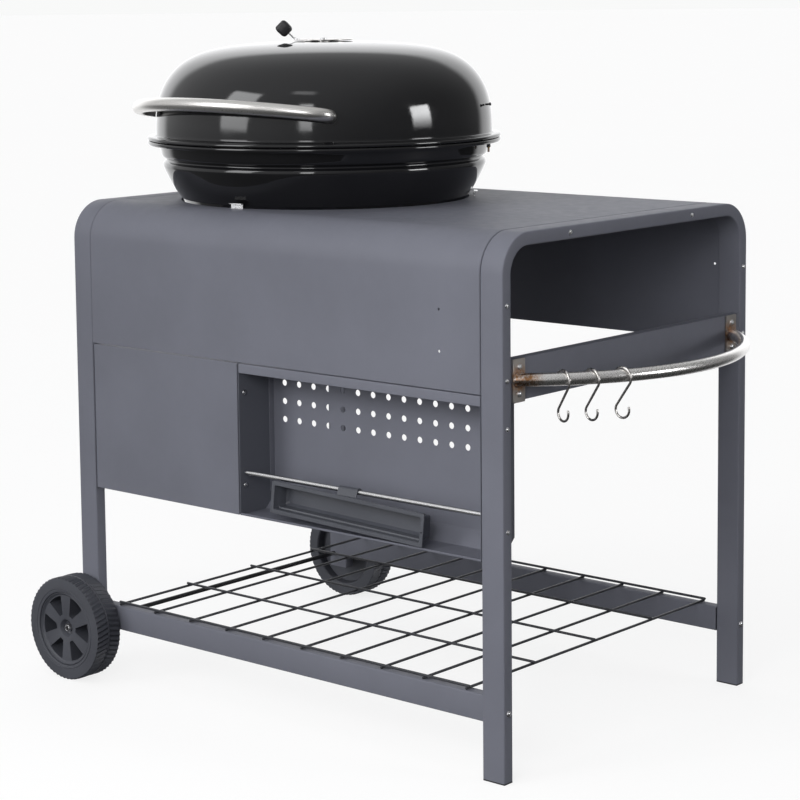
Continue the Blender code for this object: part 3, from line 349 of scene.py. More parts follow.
def dress(node, material, edge=0.0, smooth=35.0):
    """Keeps a CAD node, with welded corners, a soft edge and its finished material."""
    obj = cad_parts[node]
    obj.data.materials.clear()
    obj.data.materials.append(material)
    weld = obj.modifiers.new("Weld", "WELD")
    weld.merge_threshold = 0.00002
    if edge:
        bevelled(obj, edge)
    else:
        smoother = obj.data
        smoother.shade_smooth()
        smoother.set_sharp_from_angle(angle=math.radians(smooth))
    return obj


def carve(obj, cutter, smooth=35.0):
    """Cuts a closed mesh out of a piece and keeps the result as plain mesh."""
    modifier = obj.modifiers.new("Cut", "BOOLEAN")
    modifier.operation = "DIFFERENCE"
    modifier.solver = "EXACT"
    modifier.object = cutter
    graph = bpy.context.evaluated_depsgraph_get()
    mesh = bpy.data.meshes.new_from_object(obj.evaluated_get(graph))
    obj.modifiers.clear()
    obj.data = mesh
    mesh.shade_smooth()
    mesh.set_sharp_from_angle(angle=math.radians(smooth))
    bpy.data.objects.remove(cutter)
    return obj


def spline_through(points, per_span):
    """Natural cubic spline through the points, spaced by chord length."""
    data = np.array(points, float)
    gaps = np.linalg.norm(np.diff(data, axis=0), axis=1)
    count = len(data)
    system = np.zeros((count, count))
    right = np.zeros_like(data)
    system[0, 0] = system[-1, -1] = 1.0
    for i in range(1, count - 1):
        system[i, i - 1:i + 2] = gaps[i - 1], 2 * (gaps[i - 1] + gaps[i]), gaps[i]
        right[i] = 6 * ((data[i + 1] - data[i]) / gaps[i] - (data[i] - data[i - 1]) / gaps[i - 1])
    bend = np.linalg.solve(system, right)
    found = []
    for i, gap in enumerate(gaps):
        for k in range(per_span):
            a = gap * (1 - k / per_span)
            b = gap - a
            found.append(
                bend[i] * a**3 / (6 * gap) + bend[i + 1] * b**3 / (6 * gap)
                + (data[i] / gap - bend[i] * gap / 6) * a
                + (data[i + 1] / gap - bend[i + 1] * gap / 6) * b
            )
    found.append(data[-1])
    return [Vector(point) for point in found]


def rounded_path(points, radius, steps=5):
    """The path with each inner corner replaced by an arc-like curve."""
    points = [Vector(point) for point in points]
    found = [points[0]]
    for before, corner, after in zip(points, points[1:], points[2:]):
        reach = min(radius, (before - corner).length * 0.48, (after - corner).length * 0.48)
        start = corner + (before - corner).normalized() * reach
        end = corner + (after - corner).normalized() * reach
        for i in range(steps + 1):
            t = i / steps
            found.append(start * (1 - t) ** 2 + corner * 2 * t * (1 - t) + end * t**2)
    found.append(points[-1])
    return found


def thick_outline(path, thickness):
    """Closed outline of a sheet of that thickness along a path of (radius, height)."""
    left = []
    right = []
    for i, point in enumerate(path):
        tangent = (path[min(i + 1, len(path) - 1)] - path[max(i - 1, 0)]).normalized()
        normal = Vector((-tangent.y, tangent.x))
        if abs(point.x) < 1e-7:
            normal = Vector((0.0, math.copysign(1.0, normal.y)))
        left.append(point + normal * thickness / 2)
        right.append(point - normal * thickness / 2)
    return left + right[::-1]


def lathe(shape, outline, centre, steps, axis="Z"):
    """Turns a closed outline of (radius, height) round an axis through centre."""
    rings = []
    centre = Vector(centre)
    for point in outline:
        radius, height = point[0], point[1]
        count = 1 if radius < 1e-7 else steps
        ring = []
        for k in range(count):
            angle = math.tau * k / steps
            across, other = radius * math.cos(angle), radius * math.sin(angle)
            offset = (across, height, other) if axis == "Y" else (across, other, height)
            ring.append(shape.verts.new(centre + Vector(offset)))
        rings.append(ring)
    for first, second in zip(rings, rings[1:] + rings[:1]):
        for k in range(steps):
            corners = [first[k % len(first)], first[(k + 1) % len(first)],
                       second[(k + 1) % len(second)], second[k % len(second)]]
            face = list(dict.fromkeys(corners))
            if len(face) > 2:
                shape.faces.new(face)


def plug(radius, low, high):
    """Outline of a plain cylinder, for lathe."""
    return [(0.0, low), (radius, low), (radius, high), (0.0, high)]


def turned(name, outline, centre, steps, material, axis="Z", smooth=35.0):
    shape = bmesh.new()
    lathe(shape, outline, centre, steps, axis)
    return to_object(name, shape, material, smooth)


def tube_rings(path, radius, sides, up=None, squash=1.0):
    """Rings of points round a path, carried along without twist."""
    path = [Vector(point) for point in path]
    tangent = (path[1] - path[0]).normalized()
    side = Vector(up) if up else tangent.orthogonal()
    side = (side - tangent * side.dot(tangent)).normalized()
    rings = []
    for i, point in enumerate(path):
        after = path[min(i + 1, len(path) - 1)]
        before = path[max(i - 1, 0)]
        tangent = (after - before).normalized()
        side = (side - tangent * side.dot(tangent)).normalized()
        other = tangent.cross(side)
        width = radius[i] if isinstance(radius, (list, tuple)) else radius
        rings.append([
            point + side * width * math.cos(math.tau * k / sides)
            + other * width * squash * math.sin(math.tau * k / sides)
            for k in range(sides)
        ])
    return rings


def add_tube(shape, path, radius, sides=12, round_ends=0.0, up=None):
    """A round bar along a path, with its ends drawn in by round_ends."""
    path = [Vector(point) for point in path]
    widths = [radius] * len(path)
    if round_ends:
        first = (path[1] - path[0]).normalized()
        last = (path[-1] - path[-2]).normalized()
        path = ([path[0], path[0] + first * round_ends * 0.35, path[0] + first * round_ends]
                + path[1:-1]
                + [path[-1] - last * round_ends, path[-1] - last * round_ends * 0.35, path[-1]])
        drawn_in = [radius * 0.45, radius * 0.85]
        widths = drawn_in + [radius] * (len(path) - 4) + drawn_in[::-1]
    skin(shape, tube_rings(path, widths, sides, up))


def tube_piece(name, path, radius, material, sides=16, round_ends=0.0, up=None):
    shape = bmesh.new()
    add_tube(shape, path, radius, sides, round_ends, up)
    return to_object(name, shape, material, 50.0)


def add_block(shape, low, high):
    corners = [(low[0], low[1]), (high[0], low[1]), (high[0], high[1]), (low[0], high[1])]
    skin(shape, [[(x, y, z) for x, y in corners] for z in (low[2], high[2])])


def rounded_rectangle(low_u, low_v, high_u, high_v, radius, steps=4):
    corners = [
        (high_u - radius, high_v - radius, 0.0), (low_u + radius, high_v - radius, 90.0),
        (low_u + radius, low_v + radius, 180.0), (high_u - radius, low_v + radius, 270.0),
    ]
    points = []
    for u, v, start in corners:
        for i in range(steps + 1):
            angle = math.radians(start + 90.0 * i / steps)
            points.append((u + radius * math.cos(angle), v + radius * math.sin(angle)))
    return points


def arc(start, end, steps):
    return [math.radians(start + (end - start) * i / steps) for i in range(steps + 1)]


# ---------------------------------------------------------------- trolley

def arch_stations(bottom, bend_steps=18):
    """Outside of the inverted U, with the inward direction at each, as (y, z, ny, nz)."""
    stations = [(FRONT_Y, bottom, 1.0, 0.0)]
    for i in range(bend_steps + 1):
        angle = math.pi - math.pi / 2 * i / bend_steps
        y = FRONT_Y + CORNER_RADIUS * (1 + math.cos(angle))
        z = TABLE_Z - CORNER_RADIUS * (1 - math.sin(angle))
        stations.append((y, z, -math.cos(angle), -math.sin(angle)))
    return stations + [(-y, z, -ny, nz) for y, z, ny, nz in reversed(stations)]


def along_arch(outline, stations, left):
    return [
        [(left + across, y + inward * ny, z + inward * nz) for across, inward in outline]
        for y, z, ny, nz in stations
    ]


def end_frame(name, node, left):
    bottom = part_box(node)[0][2]
    width = RIGHT_X - INNER_RIGHT_X
    stations = arch_stations(bottom)
    outside = rounded_rectangle(0.0, 0.0, width, TUBE_DEPTH, TUBE_ROUND)
    inside = rounded_rectangle(
        TUBE_WALL, TUBE_WALL, width - TUBE_WALL, TUBE_DEPTH - TUBE_WALL, TUBE_ROUND / 2)
    shape = bmesh.new()
    skin_pipe(shape, along_arch(outside, stations, left), along_arch(inside, stations, left))
    settle(to_object(name, shape, PAINT, 50.0), TROLLEY, node, slot="slate_paint")


def hood():
    """Bent sheet with a folded flange at the right and the round hole for the bowl."""
    flange = 0.014
    width = INNER_RIGHT_X - INNER_LEFT_X - 2 * SEAM
    outline = [
        (0.0, 0.0004), (0.0004, 0.0), (width - 0.0010, 0.0), (width, 0.0010), (width, flange),
        (width - SHEET, flange), (width - SHEET, SHEET), (0.0, SHEET),
    ]
    shape = bmesh.new()
    # The skirt ends short of the panels below it, which leaves a dark seam.
    stations = arch_stations(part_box("hood_panel")[0][2] + SKIRT_SEAM)
    skin(shape, along_arch(outline, stations, INNER_LEFT_X + SEAM))
    sheet = to_object("hood_sheet", shape, PAINT, 30.0)
    cutter = bmesh.new()
    lathe(cutter, plug(BOWL_HOLE_RADIUS, TABLE_Z - 0.02, TABLE_Z + 0.02), KETTLE_AXIS, 160)
    for place in HOOD_HOLES:
        lathe(cutter, plug(HOOD_HOLE_RADIUS, -0.006, 0.006), place, 24, "Y")
    carve(sheet, to_object("hole_cutter", cutter, PAINT), 30.0)
    settle(sheet, TROLLEY, "hood_panel", slot="slate_paint")


def lower_rail(name, node):
    low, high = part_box(node)
    shape = bmesh.new()
    outside = rounded_rectangle(low[1], low[2], high[1], high[2], TUBE_ROUND)
    inside = rounded_rectangle(
        low[1] + TUBE_WALL, low[2] + TUBE_WALL, high[1] - TUBE_WALL, high[2] - TUBE_WALL,
        TUBE_ROUND / 2)
    ends = (low[0], high[0])
    skin_pipe(shape, [[(x, y, z) for y, z in outside] for x in ends],
              [[(x, y, z) for y, z in inside] for x in ends])
    settle(to_object(name, shape, PAINT, 50.0), TROLLEY, node, slot="slate_paint")


def wire_shelf():
    low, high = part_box("wire_shelf")
    cross = bmesh.new()
    along = bmesh.new()
    welds = bmesh.new()
    cross_z = low[2] + WIRE
    along_z = cross_z + WIRE * 1.6
    first = LEFT_X + 0.088
    xs = [first + 0.082 * i for i in range(10)]
    ys = [0.155 * (i - 2) for i in range(5)]
    for x in xs:
        add_tube(cross, [(x, low[1], cross_z), (x, high[1], cross_z)], WIRE, 10, WIRE * 0.7)
    for y in ys:
        add_tube(along, [(low[0], y, along_z), (high[0], y, along_z)], WIRE, 10, WIRE * 0.7)
    for x in xs:
        for y in ys:
            place = Matrix.Translation((x, y, (cross_z + along_z) / 2))
            place = place @ Matrix.Diagonal((1.0, 1.0, 0.8, 1.0))
            bmesh.ops.create_icosphere(welds, subdivisions=2, radius=WIRE * 1.25, matrix=place)
    for name, shape, replaced in (
        ("shelf_cross_wires", cross, ["wire_shelf"]), ("shelf_long_wires", along, []),
        ("shelf_welds", welds, []),
    ):
        settle(to_object(name, shape, WIRE_PAINT, 60.0), TROLLEY, *replaced, slot="slate_paint")


RECESS_LOW, RECESS_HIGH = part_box("recess_shell")


def recess_holes():
    """Cutter for the three rows of hanging holes in the back of the recess."""
    shape = bmesh.new()
    back = RECESS_HIGH[1]
    for z in HOLE_ROWS:
        for i in range(HOLE_COLUMNS):
            x = LEFT_X + FIRST_HOLE + HOLE_PITCH * i
            lathe(shape, plug(0.0050, -0.006, 0.006), (x, back, z), 28, "Y")
    return to_object("hole_row_cutter", shape, PAINT)


def recess():
    """Folded liner of the utensil recess: lip, top, back, sloped corner, floor and floor lip."""
    front, back = RECESS_LOW[1], RECESS_HIGH[1]
    floor, top = RECESS_LOW[2], RECESS_HIGH[2]
    fold = [
        (front + SHEET / 2, top - 0.0148), (front + SHEET / 2, top - SHEET / 2),
        (back - SHEET / 2, top - SHEET / 2), (back - SHEET / 2, floor + 0.022),
        (back - 0.022, floor + SHEET / 2), (front + SHEET / 2, floor + SHEET / 2),
        (front + SHEET / 2, floor + 0.004),
    ]
    outline = thick_outline(rounded_path(fold, 0.0016, 4), SHEET)
    shape = bmesh.new()
    skin(shape, [[(x, y, z) for y, z in outline] for x in (RECESS_LOW[0], RECESS_HIGH[0])])
    liner = to_object("recess_liner", shape, PAINT, 40.0)
    carve(liner, recess_holes(), 40.0)
    settle(liner, TROLLEY, "recess_shell", slot="slate_paint")
    # The side walls take the darker copy of the paint as painted shade.
    dress("recess_left_wall", PAINT_PAINTED_SHADE, 0.0004)
    dress("recess_right_wall", PAINT_PAINTED_SHADE, 0.0004)
    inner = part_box("recess_left_wall")[1][0]
    strip = bmesh.new()
    add_block(strip, (inner + 0.0004, back - 0.0115, floor + 0.028),
              (inner + 0.0014, back - SHEET - 0.0003, top - 0.004))
    settle(bevelled(to_object("recess_side_flange", strip, PAINT), 0.0003), TROLLEY,
           slot="slate_paint")


def utensil_rod():
    low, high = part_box("utensil_rod")
    y, z = (low[1] + high[1]) / 2, (low[2] + high[2]) / 2
    radius = (high[2] - low[2]) / 2
    rod = tube_piece("hanging_rod", [(low[0], y, z), (high[0], y, z)], radius, ROD_STEEL, 32, 0.0006)
    settle(rod, "utensil_rod_body", "utensil_rod", slot="stainless")
    return y, z


def utensil_tray(rod_y, rod_z):
    """Moulded tray: flat rim, stepped pocket, leaning back under the rod."""
    half, height, depth, rim, wall = 0.154, 0.050, 0.030, 0.0065, 0.0016
    high = -0.0085
    low = high - height
    face = -0.0085
    tray_x = (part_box("utensil_tray")[0][0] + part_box("utensil_tray")[1][0]) / 2

    def loop(inset, raised, dropped, y, radius):
        points = rounded_rectangle(-half + inset, low + raised, half - inset, high - dropped, radius, 5)
        return [(u, y, v) for u, v in points]

    back = face + depth
    outside = [
        loop(0.0, 0.0, 0.0, face + 0.0004, 0.0020), loop(0.0, 0.0, 0.0, face + 0.0022, 0.0020),
        loop(rim - wall, rim - wall, rim - wall, face + 0.0024, 0.0030),
        loop(rim + 0.003, rim + 0.004, rim - 0.001, back - 0.003, 0.0045),
        loop(rim + 0.005, rim + 0.0065, rim, back, 0.0040),
    ]
    inside = [
        loop(0.0005, 0.0005, 0.0005, face, 0.0018),
        loop(rim - 0.0006, rim - 0.0006, rim - 0.0006, face, 0.0026),
        loop(rim, rim, rim, face + 0.0007, 0.0024),
        loop(rim + 0.0012, rim + 0.0008, rim + 0.0006, face + 0.0110, 0.0028),
        loop(rim + 0.0016, rim + 0.0030, rim + 0.0008, face + 0.0118, 0.0028),
        loop(rim + 0.0030, rim + 0.0046, rim + 0.0012, back - wall - 0.004, 0.0034),
        loop(rim + 0.0062, rim + 0.0085, rim + 0.0022, back - wall, 0.0040),
    ]
    shape = bmesh.new()
    outer = skin(shape, outside, capped=False)
    inner = skin(shape, inside, capped=False)
    join_rings(shape, outer[0], inner[0])
    shape.faces.new(outer[-1])
    shape.faces.new(inner[-1])
    drill = bmesh.new()
    hanging_hole = (half - 0.0033, 0.0, (low + high) / 2 - 0.003)
    lathe(drill, plug(0.0013, face - 0.004, face + 0.004), hanging_hole, 16, "Y")
    place = (Matrix.Translation((tray_x, rod_y, rod_z)) @ Matrix.Rotation(math.radians(-5.0), 4, "X")
             @ Matrix.Rotation(math.radians(1.7), 4, "Y"))
    shape.transform(place)
    drill.transform(place)
    tray = to_object("tool_tray", shape, TRAY_PLASTIC, 32.0)
    carve(tray, to_object("tray_drill", drill, TRAY_PLASTIC), 32.0)
    settle(tray, "utensil_tray_body", "utensil_tray", slot="grey_plastic")
    return tray_x


def tray_clip(tray_x, rod_y, rod_z):
    inner, outer, half = 0.0044, 0.0058, 0.0195
    turn = arc(0.0, 180.0, 20)
    outline = (
        [(outer, -0.0045)] + [(math.cos(a) * outer, math.sin(a) * outer) for a in turn]
        + [(-outer - 0.0032, -0.0070), (-inner - 0.0032, -0.0070)]
        + [(math.cos(a) * inner, math.sin(a) * inner) for a in reversed(turn)] + [(inner, -0.0045)]
    )
    shape = bmesh.new()
    skin(shape, [[(tray_x + x, rod_y + y, rod_z + z) for y, z in outline] for x in (-half, half)])
    clip = bevelled(to_object("tray_saddle", shape, TRAY_PLASTIC, 40.0), 0.0004, 2, 40.0)
    settle(clip, "utensil_tray_body", "tray_clip", slot="grey_plastic")


def plate(name, node):
    low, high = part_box(node)
    shape = bmesh.new()
    outline = rounded_rectangle(low[1], low[2], high[1], high[2], 0.0022, 4)
    skin(shape, [[(x, y, z) for y, z in outline] for x in (low[0], high[0])])
    obj = bevelled(to_object(name, shape, PLATE_STEEL, 40.0), 0.0004)
    settle(obj, TROLLEY, node, slot="stainless")


RAIL_TUBE = (RAIL_HIGH[2] - RAIL_LOW[2]) / 2
RAIL_REACH = RAIL_HIGH[0] - RAIL_TUBE - RIGHT_X
RAIL_HALF_CHORD = 0.279
RAIL_RADIUS = (RAIL_HALF_CHORD**2 + RAIL_REACH**2) / (2 * RAIL_REACH)
RAIL_CENTRE_X = RIGHT_X + RAIL_REACH - RAIL_RADIUS
RAIL_CENTRE_Y = -0.009


def rail_point(angle):
    return Vector((
        RAIL_CENTRE_X + RAIL_RADIUS * math.cos(angle),
        RAIL_CENTRE_Y + RAIL_RADIUS * math.sin(angle),
        RAIL_Z,
    ))


def towel_rail():
    """Bowed tube cut flat against its plates, with a bead of weld round each end."""
    steps, sides = 72, 28
    end = math.asin(RAIL_HALF_CHORD / RAIL_RADIUS)
    face = PLATE_FACE_X + 0.0003
    outer, inner = [], []
    for radius, loops in ((RAIL_TUBE, outer), (RAIL_TUBE - 0.0012, inner)):
        for i in range(steps + 1):
            angle = end * (2 * i / steps - 1)
            outward = Vector((math.cos(angle), math.sin(angle), 0.0))
            tangent = Vector((-math.sin(angle), math.cos(angle), 0.0))
            ring = []
            for k in range(sides):
                turn = math.tau * k / sides
                point = rail_point(angle) + outward * radius * math.cos(turn)
                point.z += radius * math.sin(turn)
                if i in (0, steps):
                    point += tangent * (face - point.x) / tangent.x
                ring.append(point)
            loops.append(ring)
    shape = bmesh.new()
    skin_pipe(shape, outer, inner)
    settle(to_object("towel_bow", shape, RAIL_STEEL, 50.0), TROLLEY, "towel_rail", slot="stainless")
    beads = bmesh.new()
    for ring in (outer[0], outer[-1]):
        middle = sum(ring, Vector()) / len(ring)
        path = [middle + (point - middle) * 1.05 + Vector((0.0006, 0.0, 0.0)) for point in ring]
        widths = [0.0013 + 0.0003 * math.sin(5 * k) for k in range(len(path))]
        skin(beads, tube_rings(path, widths, 8, up=(1.0, 0.0, 0.0)), looped=True)
    settle(to_object("rail_weld_beads", beads, PLATE_STEEL, 60.0), TROLLEY, slot="stainless")


def s_hook(number, y):
    """Round-wire S hung over the rail, its plane turned a little from the rail's radius."""
    wire, upper, lower, length, clearance = 0.0018, 0.0152, 0.0120, 0.0770, 0.0010
    angle = math.asin((y - RAIL_CENTRE_Y) / RAIL_RADIUS)
    spin = Matrix.Rotation(angle + math.radians(25.0), 4, "Z")
    drop = upper - wire - RAIL_TUBE - clearance
    lower_z = -(length - upper - lower - 2 * wire)
    flat = [(upper * math.cos(a), upper * math.sin(a)) for a in arc(200.0, -25.0, 26)]
    flat += [(lower * math.cos(a), lower * math.sin(a) + lower_z) for a in arc(155.0, 385.0, 26)]
    path = [rail_point(angle) + spin @ Vector((across, 0.0, up - drop)) for across, up in flat]
    hook = tube_piece(f"hanging_hook_{number}", path, wire, HOOK_STEEL, 12, wire * 0.8)
    settle(hook, f"s_hook_{number}_body", f"s_hook_{number}", slot="stainless")


# ---------------------------------------------------------------- screws

def screw_head():
    """Pan head with a cross recess, its seat on z = 0 and its top towards +z; radius 1."""
    profile = [
        (0.0, 0.62), (0.45, 0.58), (0.75, 0.44), (0.94, 0.22), (1.0, 0.06), (1.0, 0.0), (0.0, 0.0),
    ]
    head = turned("head", profile, (0.0, 0.0, 0.0), 24, SCREW_STEEL)
    for across, along in ((0.55, 0.10), (0.10, 0.55)):
        slot = bmesh.new()
        add_block(slot, (-across, -along, 0.38), (across, along, 0.80))
        carve(head, to_object("slot", slot, SCREW_STEEL))
    shape = bmesh.new()
    shape.from_mesh(head.data)
    bpy.data.objects.remove(head)
    return shape


HEAD = screw_head()


def screws(name, places, body, *nodes, material=SCREW_STEEL):
    """Screw heads at (seat centre, outward direction, radius), all in one piece."""
    shape = bmesh.new()
    for number, (seat, outward, radius) in enumerate(places):
        turn = Vector(outward).to_track_quat("Z", "Y").to_matrix().to_4x4()
        twist = Matrix.Rotation(0.7 * number + 0.3, 4, "Z")
        copy = HEAD.copy()
        copy.transform(Matrix.Translation(seat) @ turn @ twist @ Matrix.Scale(radius, 4))
        mesh = bpy.data.meshes.new("copy")
        copy.to_mesh(mesh)
        copy.free()
        shape.from_mesh(mesh)
        bpy.data.meshes.remove(mesh)
    settle(to_object(name, shape, material, 30.0), body, *nodes, slot="bright_metal")


def frame_screws():
    small, large = 0.0037, 0.0047
    leg = FRONT_Y + TUBE_DEPTH / 2
    spots = [(leg, z, small) for z in (0.694, 0.587, 0.518, 0.3695)] + [(leg, 0.104, large)]
    spots += [(-0.158, TABLE_Z - TUBE_DEPTH / 2, small), (0.159, TABLE_Z - TUBE_DEPTH / 2, small)]
    spots += [(-leg, 0.691, small), (-leg, 0.583, small), (-leg, 0.102, large)]
    screws("right_frame_screws", [((RIGHT_X, y, z), (1, 0, 0), r) for y, z, r in spots], TROLLEY)
    screws("left_frame_screws", [((LEFT_X, y, z), (-1, 0, 0), r) for y, z, r in spots], TROLLEY)
    seats = [
        (PLATE_FACE_X, (low[1] + high[1]) / 2 + 0.0005, RAIL_Z - 0.0015 + side * 0.0195)
        for low, high in PLATE_BOXES for side in (-1, 1)
    ]
    screws("rail_plate_screws", [(seat, (1, 0, 0), 0.0046) for seat in seats], TROLLEY)
    for side, outward in (("left", 1), ("right", -1)):
        for height in ("upper", "lower"):
            node = f"recess_{side}_screw_{height}"
            low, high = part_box(node)
            seat = (low[0] if outward > 0 else high[0], (low[1] + high[1]) / 2, (low[2] + high[2]) / 2)
            screws(f"recess_{side}_head_{height}", [(seat, (outward, 0, 0), 0.0040)], TROLLEY, node)


# ---------------------------------------------------------------- wheels

def tyre(shape, centre, radius, width, direction):
    """Rim and tread: two rows of slanting blocks with a thin rib between them."""
    blocks = 62
    cuts = (0.0, 0.05, 0.50, 0.55)
    groove = 0.0030
    rows = [
        # depth from the outer face, radius drop of a block's top, groove depth, slant
        (0.0004, 0.0018, 0.0008, 0.00), (0.0014, 0.0004, groove, 0.00), (0.0044, 0.0, groove, 0.06),
        (0.0130, 0.0, groove, 0.30), (0.0224, 0.0004, groove, 0.55), (0.0228, 0.0024, 0.0006, 0.55),
        (0.0237, 0.0006, 0.0, 0.0), (0.0255, 0.0006, 0.0, 0.0), (0.0264, 0.0024, 0.0006, 0.95),
        (0.0268, 0.0004, groove, 0.95), (0.0360, 0.0, groove, 0.70), (0.0455, 0.0002, groove, 0.46),
        (0.0482, 0.0006, groove, 0.40), (0.0491, 0.0018, 0.0008, 0.40),
    ]
    inside = [
        (width, radius - 0.0070), (width, 0.0645), (width - 0.002, 0.0625), (0.0160, 0.0612),
        (0.0068, 0.0608), (0.0030, 0.0612), (0.0006, 0.0622), (0.0, 0.0650), (0.0, 0.0664),
        (0.0007, 0.0671), (0.0, 0.0678), (0.0, radius - 0.0070),
    ]
    rings = []
    for depth, drop, carved, slant in rows:
        ring = []
        for i in range(blocks):
            for k, cut in enumerate(cuts):
                angle = math.tau * (i + cut + slant) / blocks
                here = radius - drop - (carved if k in (2, 3) else 0.0)
                if k in (2, 3) and carved == 0.0:
                    here = radius - drop
                ring.append((here, angle, depth))
        rings.append(ring)
    for depth, here in inside:
        turns = [math.tau * (i + cut) / blocks for i in range(blocks) for cut in cuts]
        rings.append([(here, angle, depth) for angle in turns])
    x, y, z = centre
    points = [
        [(x + r * math.cos(a), y + direction * d, z + r * math.sin(a)) for r, a, d in ring]
        for ring in rings
    ]
    skin(shape, points, looped=True)


def wheel_disc(name, centre, width, direction):
    """Spoked centre with six windows, a long hub and a recess for the nut."""
    profile = [
        (0.0046, 0.0145), (0.0090, 0.0145), (0.0112, 0.0132), (0.0138, 0.0072), (0.0150, 0.0056),
        (0.0164, 0.0052), (0.0560, 0.0052), (0.0585, 0.0036), (0.0598, 0.0018), (0.0609, 0.0022),
        (0.0609, 0.0340), (0.0560, 0.0340), (0.0200, 0.0340), (0.0168, 0.0352), (0.0150, 0.0370),
        (0.0140, width - 0.0015), (0.0130, width), (0.0046, width),
    ]
    outline = [(radius, direction * depth) for radius, depth in profile]
    disc = turned(f"{name}_disc", outline, centre, 96, WHEEL_PLASTIC, "Y", 32.0)
    cutter = bmesh.new()
    for i in range(6):
        middle = math.tau * i / 6
        flat = []
        for radius, half in ((0.0230, 9.5), (0.0548, 17.5)):
            sweep = arc(-half, half, 8)
            if radius < 0.03:
                sweep = list(reversed(sweep))
            flat += [(radius * math.cos(middle + a), radius * math.sin(middle + a)) for a in sweep]
        flat = [tuple(p) for p in rounded_loop(flat, 0.0016)]
        skin(cutter, [
            [(centre[0] + u, centre[1] + direction * d, centre[2] + v) for u, v in flat]
            for d in (-0.004, 0.0300)
        ])
    carve(disc, to_object("window_cutter", cutter, WHEEL_PLASTIC), 32.0)
    return disc


def rounded_loop(points, radius):
    """Closed outline with its four sharp corners eased by averaging near them."""
    points = [Vector(point) for point in points]
    count = len(points)
    found = []
    for i, corner in enumerate(points):
        before, after = points[i - 1], points[(i + 1) % count]
        turn = (corner - before).angle(after - corner)
        if turn < math.radians(25.0):
            found.append(corner)
            continue
        start = corner + (before - corner).normalized() * radius
        end = corner + (after - corner).normalized() * radius
        for t in (0.0, 0.33, 0.67, 1.0):
            found.append(start * (1 - t) ** 2 + corner * 2 * t * (1 - t) + end * t**2)
    return found


def wheel(name, direction):
    node = f"{name}_wheel"
    low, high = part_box(node)
    radius = (high[2] - low[2]) / 2
    width = high[1] - low[1]
    face = low[1] if direction > 0 else high[1]
    centre = ((low[0] + high[0]) / 2, face, (low[2] + high[2]) / 2)
    body = f"{name}_wheel_body"
    disc = wheel_disc(name, centre, width, direction)
    settle(disc, body, node, slot="grey_plastic")
    shape = bmesh.new()
    tyre(shape, centre, radius, width, direction)
    settle(to_object(f"{name}_tyre", shape, WHEEL_PLASTIC, 30.0), body, slot="grey_plastic")
    return centre


def axle_end(name, centre, direction):
    """Washer and domed nut in the wheel's hub, round the dark end of the axle."""
    low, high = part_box(f"{name}_axle_nut")
    start = low[1] if direction > 0 else high[1]
    middle = (centre[0], start, centre[2])
    profile = [(0.0043, 0.0), (0.0052, -0.0004), (0.0062, 0.0006), (0.0070, 0.0022), (0.0074, 0.0040),
               (0.0074, 0.0054), (0.0043, 0.0054)]
    nut = turned(f"{name}_hub_nut", [(r, direction * (d + 0.0005)) for r, d in profile], middle, 6,
                 SCREW_STEEL, "Y", 20.0)
    settle(bevelled(nut, 0.0005, 3), TROLLEY, f"{name}_axle_nut", slot="bright_metal")
    low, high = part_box(f"{name}_axle_washer")
    thick = high[1] - low[1]
    profile = [
        (0.0044, 0.0), (0.0086, 0.0), (0.0090, 0.0004), (0.0090, thick - 0.0004), (0.0086, thick),
        (0.0044, thick),
    ]
    seat = (centre[0], low[1], centre[2])
    washer = turned(f"{name}_flat_washer", profile, seat, 40, SCREW_STEEL, "Y")
    settle(washer, TROLLEY, f"{name}_axle_washer", slot="bright_metal")


def axle(centre):
    low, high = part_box("axle")
    radius = (high[2] - low[2]) / 2
    bar = tube_piece("wheel_axle", [(centre[0], low[1], centre[2]), (centre[0], high[1], centre[2])],
                     radius, BLACK_METAL, 28, 0.0006)
    settle(bar, TROLLEY, "axle", slot="black_metal")


# ---------------------------------------------------------------- kettle

def on_kettle(angle, radius, z):
    """Point on the kettle; angle 0 faces the front and grows towards +X."""
    return Vector((KETTLE_X + radius * math.sin(angle), KETTLE_Y - radius * math.cos(angle), z))


def bowl():
    """Deep bowl with a rolled rim, a straight collar, a groove and a bead above the belly."""
    belly = spline_through([
        (0.0360, 0.6910), (0.0950, 0.6980), (0.1420, 0.7130), (0.1780, 0.7320), (0.2040, 0.7530),
        (0.2230, 0.7750), (0.2362, 0.7960), (0.2475, 0.8125), (0.2575, 0.8300), (0.2655, 0.8470),
    ], 6)
    collar = rounded_path([
        belly[-1], (0.2682, 0.8535), (0.2675, 0.8585), (0.2632, 0.8622), (0.2634, 0.8655),
        (0.2690, 0.8690), (0.2705, 0.8725), (0.2730, 0.8860), (0.2768, 0.8938), (0.2880, 0.8950),
        (0.2926, 0.8944), (0.2932, 0.8912), (0.2915, 0.8890),
    ], 0.0022, 4)
    outline = thick_outline(belly[:-1] + collar, KETTLE_SHEET)
    shell = turned("kettle_bowl", outline, KETTLE_AXIS, 192, ENAMEL, smooth=60.0)
    settle(shell, TROLLEY, "bowl", slot="black_enamel")


def vent_cutter(turn, low, high):
    shape = bmesh.new()
    for i in range(4):
        middle = on_kettle(turn + math.tau * i / 4, 0.026, 0.0)
        lathe(shape, plug(0.010, low, high), middle, 32)
    lathe(shape, plug(0.0033, low, high), KETTLE_AXIS, 20)
    return to_object("vent_cutter", shape, ENAMEL)


